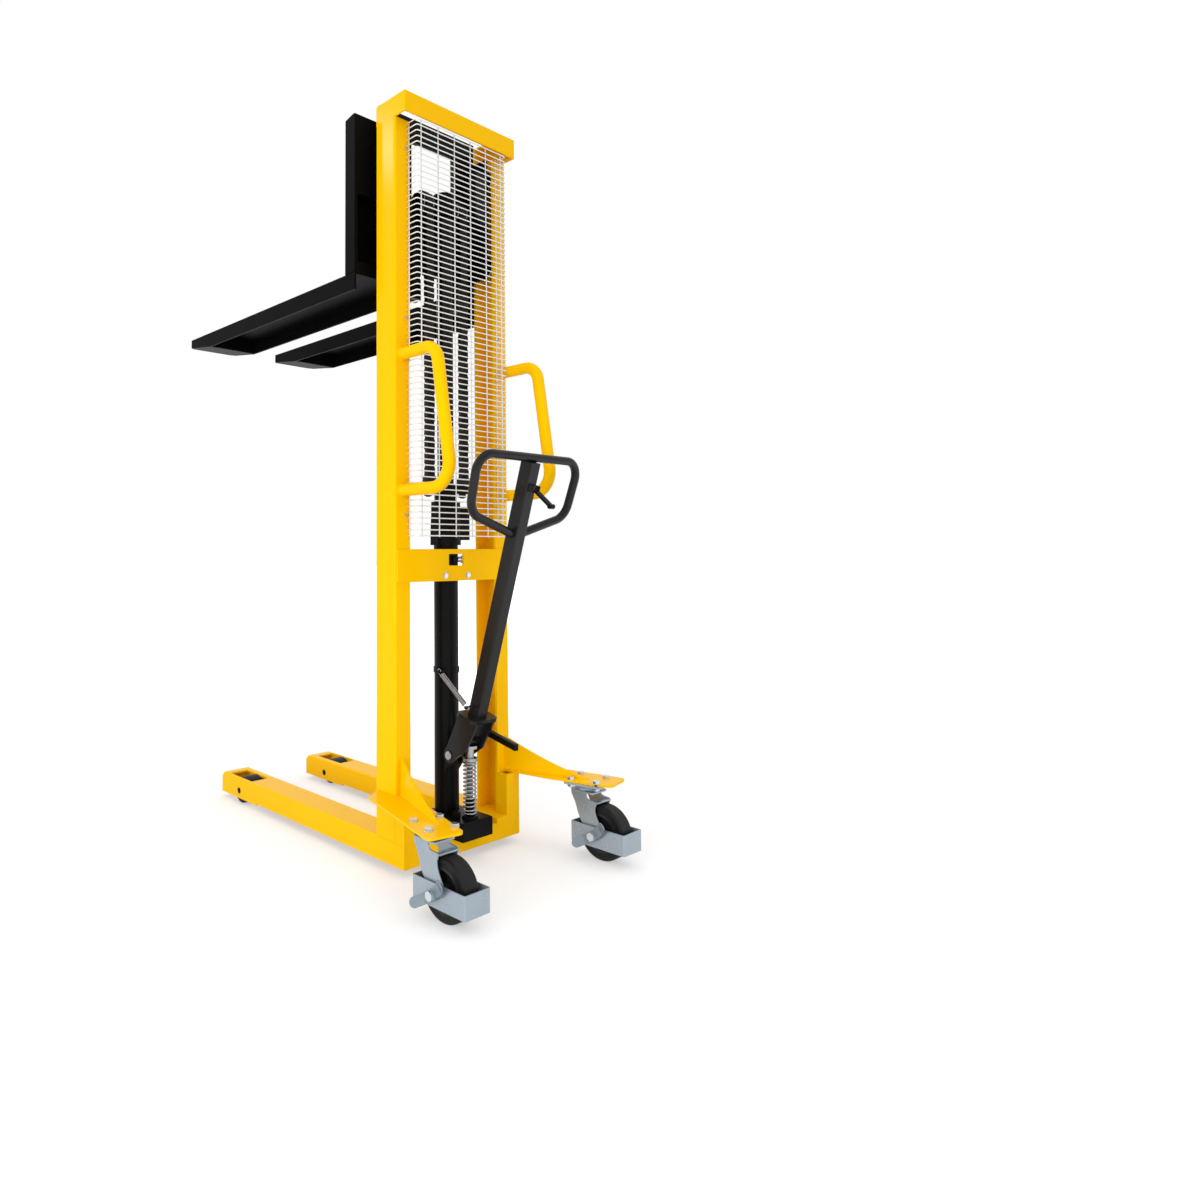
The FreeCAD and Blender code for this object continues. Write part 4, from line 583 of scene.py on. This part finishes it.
def floor_white():
    """The studio floor: white far away, and near the object white wherever nothing shades it."""
    material = bpy.data.materials.new("studio_floor")
    tree = empty_tree(material)
    place = add(tree, "ShaderNodeTexCoord")
    distance = add(tree, "ShaderNodeVectorMath", {"operation": "LENGTH"}, links={0: place.outputs["Object"]})
    fade = add(tree, "ShaderNodeMapRange", {"interpolation_type": "SMOOTHSTEP"},
               {"From Min": FLOOR_FADE[0], "From Max": FLOOR_FADE[1],
                "To Min": FLOOR_GLOW[0], "To Max": FLOOR_GLOW[1]},
               {"Value": distance.outputs["Value"]})
    matt = add(tree, "ShaderNodeBsdfDiffuse", sockets={"Color": linear(FLOOR_GREY)})
    glow = add(tree, "ShaderNodeEmission", sockets={"Color": linear(WHITE)},
               links={"Strength": fade.outputs["Result"]})
    both = add(tree, "ShaderNodeAddShader", links={0: matt.outputs["BSDF"], 1: glow.outputs["Emission"]})
    light = add(tree, "ShaderNodeLightPath")
    seen = add(tree, "ShaderNodeMath", {"operation": "MAXIMUM"},
               links={0: light.outputs["Is Camera Ray"], 1: light.outputs["Is Glossy Ray"]})
    pick = add(tree, "ShaderNodeMixShader", links={0: seen.outputs[0], 1: matt.outputs["BSDF"],
                                                   2: both.outputs["Shader"]})
    add(tree, "ShaderNodeOutputMaterial", links={"Surface": pick.outputs["Shader"]})
    return material


materials = {
    "yellow_paint": yellow_enamel(),
    "black_paint": black_enamel(),
    "white_wire": white_wire(),
    "zinc": zinc_plate(),
    # The rod's near-black colour is a painted dark reflection
    "rod_steel": rod_painted_dark_reflection(),
    "spring_steel": spring_wire(),
    "chain_steel": chain_steel(),
    "tyre_black": tyre_rubber(),
    "hub_grey": hub_nylon(),
    "machined": machined_steel(),
}
bright = bright_zinc()


def dress_solids():
    """Give every solid the finish of its material slot, or the special finish of its kind."""
    special = {"tiller": tiller_enamel(), "fork": fork_paint(), "caster_axle": bright,
               "chain_anchor": materials["chain_steel"]}
    for part in record["subparts"]:
        mesh = nodes[part["node"]].data
        mesh.materials.clear()
        kinds = [kind for kind in special if part["node"].startswith(kind)]
        mesh.materials.append(special[kinds[0]] if kinds else materials[part["material_slot"]])


# Springs

def plunger_spring():
    """Compression spring round the plunger guide, its first and last turns closed.

    The height runs in three straight stretches: by one wire over each end turn, and evenly between them.
    """
    low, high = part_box("plunger_spring")
    middle = np.array([0.0, (low.y + high.y) / 2, low.z])
    radius = (high.y - low.y - PLUNGER_WIRE) / 2
    share = np.linspace(0, 1, PLUNGER_TURNS * COIL_STEPS + 1)
    end = 1 / PLUNGER_TURNS
    dead = PLUNGER_WIRE / (high.z - low.z - PLUNGER_WIRE)
    rise = np.interp(share, [0, end, 1 - end, 1], [0, dead, 1 - dead, 1])
    heights = PLUNGER_WIRE / 2 + rise * (high.z - low.z - PLUNGER_WIRE)
    path, around = helix(middle, UP, ACROSS, radius, PLUNGER_TURNS, heights)
    made = piece("plunger_coil", [tube(path, around, PLUNGER_WIRE / 2, PLUNGER_SIDES)],
                 materials["spring_steel"], None, ["plunger_spring"])
    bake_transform(made)


def return_spring():
    """Close-wound tension spring between the collar and the tiller, with a loop over each stud.

    The loops are plane curves: a straight leg, then an arc of 252 degrees round the stud.
    """
    low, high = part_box("return_spring")
    middle = ACROSS * (low.x + high.x) / 2
    top = middle + np.array([0.0, high.y, high.z])
    foot = middle + np.array([0.0, low.y, low.z])
    axis = (foot - top) / np.linalg.norm(foot - top)
    loop = STUD_RADIUS + RETURN_WIRE / 2
    top = top - axis * loop
    foot = foot + axis * loop
    side = np.cross(ACROSS, axis)
    radius = (RETURN_COIL - RETURN_WIRE) / 2
    length = np.linalg.norm(foot - top)
    heights = np.linspace(HOOK_INSET, length - HOOK_INSET, RETURN_TURNS * COIL_STEPS + 1)
    path, around = helix(top, axis, side, radius, RETURN_TURNS, heights)
    grids = [tube(path, around, RETURN_WIRE / 2, WIRE_SIDES)]
    turn = np.linspace(*HOOK_SWEEP, HOOK_STEPS)
    leg = np.linspace((-HOOK_INSET, radius), (-loop, loop), HOOK_LEG_STEPS)
    bow = loop * np.stack([np.cos(turn), np.sin(turn)], axis=1)
    plane = np.concatenate([leg, bow])
    for stud, inward in ((top, axis), (foot, -axis)):
        hook = stud - inward * plane[:, :1] + side * plane[:, 1:]
        grids.append(tube(hook, ACROSS, RETURN_WIRE / 2, WIRE_SIDES))
    made = piece("tiller_return_coil", grids, materials["spring_steel"], None,
                 ["return_spring"])
    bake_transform(made)


# Chains

def link_outline():
    """A link plate's edge: two round ends of 150 degrees joined over a drawn-in waist."""
    along = CHAIN_PITCH / 2 + CHAIN_PLATE_HALF * np.cos(LINK_END)
    right = np.stack([along, CHAIN_PLATE_HALF * np.sin(LINK_END)], axis=1)
    waist = np.array([[0.0, CHAIN_WAIST_HALF]])
    return np.concatenate([right, waist, -right, -waist])


def link_plates(first, last, offsets):
    """Plates from pin to pin: each outline point is middle + along run + across normal, at two depths."""
    outline = link_outline()
    run = last - first
    reach = np.linalg.norm(run, axis=1, keepdims=True)
    run = run / reach
    normal = np.cross(ACROSS, run)
    middle = (first + last) / 2
    stretch = reach / CHAIN_PITCH
    flat = (middle[:, None] + run[:, None] * (outline[:, 0] * stretch)[..., None]
            + normal[:, None] * outline[None, :, 1:])
    grids = []
    for offset in offsets:
        faces = [flat + (offset + depth) * ACROSS for depth in (CHAIN_PLATE / 2, -CHAIN_PLATE / 2)]
        grids.append(np.stack(faces, axis=1))
    return np.concatenate(grids)


def chain_pins(places):
    """Riveted pins across the chain: a short bar with its ends drawn in."""
    path = places[:, None] + CHAIN_PIN_SHARES[:, None] * CHAIN_PIN_HALF * ACROSS
    return tube(path, UP, CHAIN_PIN_RADIUS_SHARES * CHAIN_PIN_RADIUS, WIRE_SIDES)


def chain(name, places, replaced):
    """One leaf chain run on each side, alternately laced with seven and six plates."""
    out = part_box("chain_wraps")[1].x - CHAIN_HALF_WIDTH
    grids = []
    for mirror in MIRRORS:
        pins = places + mirror * out * ACROSS
        starts = pins[0:-1:2]
        grids.append(link_plates(starts, pins[1::2][:len(starts)], OUTER_PLATES))
        grids.append(link_plates(pins[1:-1:2], pins[2::2], INNER_PLATES))
        grids.append(chain_pins(pins))
    return piece(name, grids, materials["chain_steel"], None, [replaced], smooth=False)


def chains():
    """Rear run from the anchors up, half a turn over the sheaves, front run down to the carriage."""
    rear_low, rear_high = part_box("chain_rear_runs")
    front_low, front_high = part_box("chain_front_runs")
    rear_y = (rear_low.y + rear_high.y) / 2
    front_y = (front_low.y + front_high.y) / 2
    level = rear_high.z
    for name, y, low, fixed in (("chain_rear_runs", rear_y, rear_low.z, "chassis"),
                                ("chain_front_runs", front_y, front_low.z, "carriage")):
        links = round((level - low) / CHAIN_PITCH)
        places = np.linspace((0.0, y, low), (0.0, y, level), links + 1)
        made = chain(name.replace("runs", "links"), places, name)
        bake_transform(made)
    middle = (rear_y + front_y) / 2
    radius = (front_y - rear_y) / 2
    angle = np.linspace(math.pi, 0, WRAP_PINS)
    places = np.stack([np.zeros(WRAP_PINS), middle + radius * np.cos(angle), level + radius * np.sin(angle)],
                      axis=1)
    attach(chain("chain_wrap_links", places, "chain_wraps"), "lift_rod")


# Wire guard

def wire_guard():
    """Bent cross wires with upright wires on their inner side.

    A cross wire's plan runs back from the column, round a quarter bend, across and forward again.
    """
    low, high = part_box("wire_guard")
    half = GUARD_WIRE / 2
    reach = high.x - half
    back = low.y + half
    turn = np.radians(np.linspace(0, 90, GUARD_BEND_STEPS))
    corner = np.stack([reach - GUARD_BEND + GUARD_BEND * np.cos(turn),
                       back + GUARD_BEND - GUARD_BEND * np.sin(turn)], axis=1)
    right = np.concatenate([[[reach, high.y]], corner])
    left = right[::-1] * np.array([-1, 1])
    plan = np.concatenate([right, left])
    heights = np.linspace(low.z + half, high.z - half, GUARD_ROWS)
    rows = np.concatenate([np.broadcast_to(plan, (GUARD_ROWS,) + plan.shape),
                           np.broadcast_to(heights[:, None, None], (GUARD_ROWS, len(plan), 1))], axis=2)
    grids = [tube(rows, UP, half, WIRE_SIDES)]
    places = (np.arange(GUARD_UPRIGHTS) - (GUARD_UPRIGHTS - 1) / 2) * GUARD_UPRIGHT_PITCH
    uprights = [(x, back + GUARD_WIRE) for x in places]
    uprights += [(mirror * (reach - GUARD_WIRE), high.y - GUARD_WIRE - half) for mirror in MIRRORS]
    for x, y in uprights:
        path = np.array([[x, y, low.z - half], [x, y, high.z + half]])
        grids.append(tube(path, ACROSS, half, WIRE_SIDES))
    piece("guard_wires", grids, materials["white_wire"], "chassis", ["wire_guard"])


# Pins, clips and bolts

def pivot_pin():
    """The tiller's pivot pin, with a wider cap at each end."""
    start = np.array([-PIVOT_HALF, COLUMN_REAR - PIVOT_REACH, PIVOT_HEIGHT])
    far_cap = np.array([0.0, 2 * PIVOT_HALF]) + PIVOT_CAP[::-1] * np.array([1, -1])
    shaft = lathe(np.concatenate([PIVOT_CAP, far_cap]), start, ACROSS, UP, BOSS_STEPS)
    piece("tiller_pivot_pin", [shaft], materials["machined"], "chassis", ["axle_pins"],
          smooth=False)


def roller_pins():
    """Pins of the load rollers: through the legs, a little proud on both sides, with chamfered ends."""
    axle = centre("load_roller_right")
    inner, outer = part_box("support_leg_right")
    width = outer.x - inner.x + 2 * ROLLER_PIN_PROUD
    profile = [(ROLLER_PIN_END_RADIUS, 0.0), (ROLLER_PIN_RADIUS, ROLLER_PIN_CHAMFER),
               (ROLLER_PIN_RADIUS, width - ROLLER_PIN_CHAMFER), (ROLLER_PIN_END_RADIUS, width)]
    pins = []
    for mirror in MIRRORS:
        start = np.array([mirror * (inner.x - ROLLER_PIN_PROUD), axle[1], axle[2]])
        pins.append(lathe(profile, start, mirror * ACROSS, UP, WASHER_STEPS))
    piece("load_roller_pins", pins, materials["black_paint"], "chassis")


def guard_clips():
    """Clips that hold the guard to the columns, each under a round-headed screw."""
    clips = []
    screws = []
    for height in CLIP_HEIGHTS:
        for mirror in MIRRORS:
            edges = sorted((mirror * CLIP_SPAN[0], mirror * CLIP_SPAN[1]))
            clips.append(block((edges[0], COLUMN_REAR - CLIP_SHEET, height - CLIP_HALF_HEIGHT),
                               (edges[1], COLUMN_REAR, height + CLIP_HALF_HEIGHT)))
            place = np.array([sum(edges) / 2, COLUMN_REAR - CLIP_SHEET, height])
            screws.append(lathe(CLIP_SCREW, place, -AHEAD, ACROSS, SCREW_STEPS))
    piece("guard_clips", clips, materials["yellow_paint"], "chassis", smooth=False)
    piece("guard_clip_screws", screws, materials["zinc"], "chassis")


def caster_bolts():
    """Four bolts at each caster: washer and hexagon above the bracket, nut and thread below the plate."""
    along = BOLT_ALONG * np.array([math.sin(BOLT_SPLAY), -math.cos(BOLT_SPLAY)])
    across = BOLT_ACROSS * np.array([math.cos(BOLT_SPLAY), math.sin(BOLT_SPLAY)])
    places = [CASTER_PLACE + i * along + j * across for i in MIRRORS for j in MIRRORS]
    grids = []
    for mirror in MIRRORS:
        for x, y in places:
            seat = np.array([mirror * x, y, BRACKET_TOP])
            under = np.array([mirror * x, y, CASTER_PLATE_LOW])
            grids.append(lathe(BOLT_WASHER, seat, UP, ACROSS, WASHER_STEPS))
            grids.append(hex_head(BOLT_SIZE, BOLT_HEAD, seat + UP * BOLT_WASHER_HEIGHT, UP, ACROSS))
            grids.append(hex_head(BOLT_SIZE, NUT_HEIGHT, under, -UP, ACROSS))
            grids.append(lathe(BOLT_THREAD, under, -UP, ACROSS, SCREW_STEPS))
    return grids


def clamp_bolts():
    """Two bolts behind the cross plate: a washer and a hexagon each."""
    grids = []
    for mirror in MIRRORS:
        place = np.array([mirror * CLAMP_BOLT_PLACE[0], CROSS_PLATE_REAR, CLAMP_BOLT_PLACE[1]])
        grids.append(lathe(CLAMP_WASHER, place, -AHEAD, ACROSS, WASHER_STEPS))
        grids.append(hex_head(*CLAMP_HEAD, place - AHEAD * CLAMP_WASHER_HEIGHT, -AHEAD, UP))
    return grids


def filler_plug():
    """A round neck on the tube, with a hexagon on its end."""
    out = np.array([math.cos(PLUG_TURN), -math.sin(PLUG_TURN), 0.0])
    foot = np.array([0.0, COLUMN_REAR + TUBE_REACH, PLUG_HEIGHT]) + out * (TUBE_RADIUS - PLUG_SINK)
    neck = lathe(PLUG_NECK, foot, out, UP, NECK_STEPS)
    return [neck, hex_head(*PLUG_HEAD, foot + out * PLUG_NECK_LENGTH, out, UP)]


def bolts_and_plug():
    """The plated bolts of the frame and the filler plug, as one piece."""
    piece("bolts_and_plug", caster_bolts() + clamp_bolts() + filler_plug(), bright, "chassis",
          ["frame_fasteners"], smooth=False)


# Casters

def tyres():
    """Rubber tyres with rounded shoulders and a fine ring on each wall.

    The section is a closed outline of (radius, offset) points turned about the axle.
    """
    turn = np.radians(np.linspace(0, 90, TYRE_BEND_STEPS))
    for hand in HANDS:
        node = "caster_tyre_" + hand
        low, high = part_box(node)
        outer = (high.z - low.z) / 2
        half = (high.x - low.x) / 2
        wall = np.array([outer - TYRE_WALL, half]) + TYRE_RING
        shoulder = np.stack([outer - TYRE_BEND + TYRE_BEND * np.sin(turn),
                             half - TYRE_BEND + TYRE_BEND * np.cos(turn)], axis=1)
        crown = np.array([[outer, half / 2], [outer, TYRE_SEAM_HALF]])
        right = np.concatenate([wall, shoulder, crown])
        section = np.concatenate([right, right[::-1] * np.array([1, -1])])
        tread = lathe(section, centre(node), ACROSS, UP, TYRE_STEPS)
        piece("tyre_" + hand, [tread], materials["tyre_black"], "wheel_" + hand, [node],
              closed=True)


def caster_yokes():
    """Pressed steel yokes: two shaped legs under a crown plate, an arch over the wheel, a race and a pin."""
    arc = np.stack([np.sin(YOKE_ARCH_TURN), np.cos(YOKE_ARCH_TURN)], axis=1)
    arch = np.concatenate([arc[::-1] * YOKE_ARCH[1], arc * YOKE_ARCH[0]])
    half = YOKE_GAP / 2
    leg = smooth_outline(YOKE_LEG, YOKE_LEG_STEPS)
    sheets = [plate(leg, low, low + YOKE_SHEET, YOKE_EDGE) for low in (-half - YOKE_SHEET, half)]
    sheets.append(plate(arch, -half, half, YOKE_ARCH_EDGE))
    crown = plate(rounded_rectangle(*CROWN_HALF, CROWN_CORNER), *CROWN_LEVELS, YOKE_EDGE)
    for hand in HANDS:
        axle = centre("caster_tyre_" + hand)
        swivel = np.array([axle[0], axle[1] + SWIVEL_TRAIL, 0.0])
        top = swivel + UP * CROWN_LEVELS[1]
        grids = [axle + np.roll(sheet, 1, axis=2) for sheet in sheets]
        grids.append(swivel + crown)
        grids.append(lathe(RACE, top, UP, ACROSS, RACE_STEPS))
        grids.append(lathe(KING_PIN, top, UP, ACROSS, WASHER_STEPS))
        piece("caster_yoke_" + hand, grids, materials["zinc"], "swivel_" + hand,
              ["caster_fork_" + hand], smooth=False)


def brake_wings():
    """The two wings of a lever: strips that leave the axle, turn outwards and end round.

    Past the flat, a point at length a goes along R sin(q) and out R (1 - cos(q)) with q = a / R, and then
    straight on. The half width falls as a quarter ellipse towards the end.
    """
    length = np.linspace(LEVER_ROOT, LEVER_LENGTH, LEVER_STEPS)[:, None]
    past = np.clip(length - LEVER_FLAT, 0, None)
    turn = np.minimum(past / LEVER_BEND, LEVER_ANGLE)
    beyond = np.clip(past - LEVER_BEND * LEVER_ANGLE, 0, None)
    along = np.minimum(length, LEVER_FLAT) + LEVER_BEND * np.sin(turn) + beyond * np.cos(turn)
    away = LEVER_BEND * (1 - np.cos(turn)) + beyond * np.sin(turn)
    end = np.clip((length - LEVER_LENGTH + LEVER_HALF_WIDTH) / LEVER_HALF_WIDTH, 0, LEVER_ROUNDING_SHARE)
    half = LEVER_HALF_WIDTH * np.sqrt(1 - end ** 2)
    wings = []
    for tilt in LEVER_TILTS:
        run = np.array([0.0, -math.sin(tilt), math.cos(tilt)])
        width = half * np.cross(-ACROSS, run)
        depth = LEVER_SHEET / 2 * (-ACROSS * np.cos(turn) - run * np.sin(turn))
        corners = np.stack([width - depth, width + depth, -width + depth, -width - depth], axis=1)
        wings.append((run * along - ACROSS * (away + LEVER_SHEET / 2))[:, None] + corners)
    return wings


def brake_levers():
    """Two-winged levers, each on a ring round the axle."""
    wings = brake_wings()
    # Painted shade: the levers wear a darker copy of the caster zinc
    plated = shaded_lever_zinc()
    for hand in HANDS:
        axle = centre("caster_tyre_" + hand)
        face = np.array([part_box("brake_lever_" + hand)[1].x, axle[1], axle[2]])
        ring = lathe(LEVER_RING, face, -ACROSS, UP, BOSS_STEPS)
        piece("brake_wings_" + hand, [face + wing for wing in wings], plated, "brake_" + hand,
              ["brake_lever_" + hand], smooth=False)
        piece("brake_ring_" + hand, [ring], plated, "brake_" + hand, closed=True, smooth=False)


# Welds

def handle_welds():
    """Beads round both ends of the side handles."""
    low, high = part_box("side_handle_right")
    turn = full_turn(HANDLE_WELD_STEPS)
    back = np.full(len(turn), COLUMN_REAR - HANDLE_WELD_BACK)
    x = (low.x + high.x) / 2
    radius = (high.x - low.x) / 2
    rings = []
    for mirror in MIRRORS:
        for z in (high.z - radius, low.z + radius):
            ring = np.stack([mirror * x + radius * np.cos(turn), back, z + radius * np.sin(turn)], axis=1)
            rings.append(bead(ring, AHEAD))
    piece("handle_welds", rings, materials["yellow_paint"], "chassis", closed=True)


def seam_welds():
    """Straight beads: along both sides of the bracket webs, at the forks' heels and up their shanks."""
    level = BRACKET_TOP + WEB_WELD_RISE
    heel_y = COLUMN_REAR + HEEL_WELD_REACH
    shank_y = COLUMN_REAR + SHANK_WELD_REACH
    webs = []
    forks = []
    for mirror in MIRRORS:
        for offset in WEB_WELD_OFFSETS:
            near, far = (mirror * (across + offset) for across in WEB_WELD_ACROSS)
            webs.append(seam((near, COLUMN_REAR, level), (far, COLUMN_REAR - WEB_WELD_BACK, level), UP))
        near, far = (mirror * across for across in HEEL_WELD_ACROSS)
        forks.append(seam((near, heel_y, HEEL_WELD_HEIGHT), (far, heel_y, HEEL_WELD_HEIGHT), UP))
        shank_x = mirror * SHANK_WELD_ACROSS
        foot, head = ((shank_x, shank_y, height) for height in SHANK_WELD_HEIGHTS)
        forks.append(seam(foot, head, AHEAD))
    piece("bracket_web_welds", webs, materials["yellow_paint"], "chassis")
    piece("carriage_welds", forks, materials["black_paint"], "carriage")


# Stage, light and camera

def softbox(name, place, target, width, height, power, mirrored):
    """A rectangular lamp at a place, turned to a target.

    A mirrored one shows only in gloss, the others only light surfaces evenly.
    """
    lamp = bpy.data.lights.new(name, "AREA")
    lamp.shape = "RECTANGLE"
    lamp.size = width
    lamp.size_y = height
    lamp.energy = power
    made = bpy.data.objects.new(name, lamp)
    bpy.context.scene.collection.objects.link(made)
    made.visible_glossy = mirrored
    made.visible_diffuse = not mirrored
    away = Vector(place) - Vector(target)
    made.matrix_world = Matrix.Translation(place) @ away.to_track_quat("Z", "Y").to_matrix().to_4x4()


def studio_floor():
    """A wide flat floor under the object."""
    mesh = bpy.data.meshes.new("studio_floor")
    corners = [(-FLOOR_HALF, -FLOOR_HALF, 0), (FLOOR_HALF, -FLOOR_HALF, 0),
               (FLOOR_HALF, FLOOR_HALF, 0), (-FLOOR_HALF, FLOOR_HALF, 0)]
    mesh.from_pydata(corners, [], [(0, 1, 2, 3)])
    floor = bpy.data.objects.new("studio_floor", mesh)
    bpy.context.scene.collection.objects.link(floor)
    floor.data.materials.append(floor_white())


def studio_world():
    """A white world that lights matt surfaces a little less than it shows."""
    world = bpy.data.worlds.new("studio_world")
    tree = empty_tree(world)
    light = add(tree, "ShaderNodeLightPath")
    gloss = add(tree, "ShaderNodeMath", {"operation": "MAXIMUM"},
                links={0: light.outputs["Is Glossy Ray"], 1: light.outputs["Is Transmission Ray"]})
    seen = add(tree, "ShaderNodeMath", {"operation": "MAXIMUM"},
               links={0: light.outputs["Is Camera Ray"], 1: gloss.outputs[0]})
    dim = add(tree, "ShaderNodeBackground", sockets={"Color": linear(WHITE), "Strength": WORLD_LIGHT})
    full = add(tree, "ShaderNodeBackground", sockets={"Color": linear(WHITE), "Strength": WORLD_SEEN})
    pick = add(tree, "ShaderNodeMixShader", links={0: seen.outputs[0], 1: dim.outputs["Background"],
                                                   2: full.outputs["Background"]})
    add(tree, "ShaderNodeOutputWorld", links={"Surface": pick.outputs["Shader"]})
    bpy.context.scene.world = world


def camera():
    """The camera at the photograph's viewing point, turned by yaw, pitch and roll."""
    lens = bpy.data.cameras.new("camera")
    lens.lens = CAMERA_LENS
    lens.sensor_width = CAMERA_SENSOR
    lens.shift_x, lens.shift_y = CAMERA_SHIFT
    made = bpy.data.objects.new("camera", lens)
    bpy.context.scene.collection.objects.link(made)
    made.matrix_world = (Matrix.Translation(CAMERA_PLACE)
                         @ Matrix.Rotation(math.radians(-CAMERA_YAW), 4, "Z")
                         @ Matrix.Rotation(math.radians(90 + CAMERA_PITCH), 4, "X")
                         @ Matrix.Rotation(math.radians(CAMERA_ROLL), 4, "Z"))
    bpy.context.scene.camera = made


dress_solids()
plunger_spring()
return_spring()
chains()
wire_guard()
pivot_pin()
roller_pins()
guard_clips()
bolts_and_plug()
tyres()
caster_yokes()
brake_levers()
handle_welds()
seam_welds()
studio_floor()
studio_world()
for lamp_name, lamp_values in LAMPS.items():
    softbox(lamp_name, *lamp_values)
camera()
bpy.context.scene.view_settings.view_transform = "Standard"
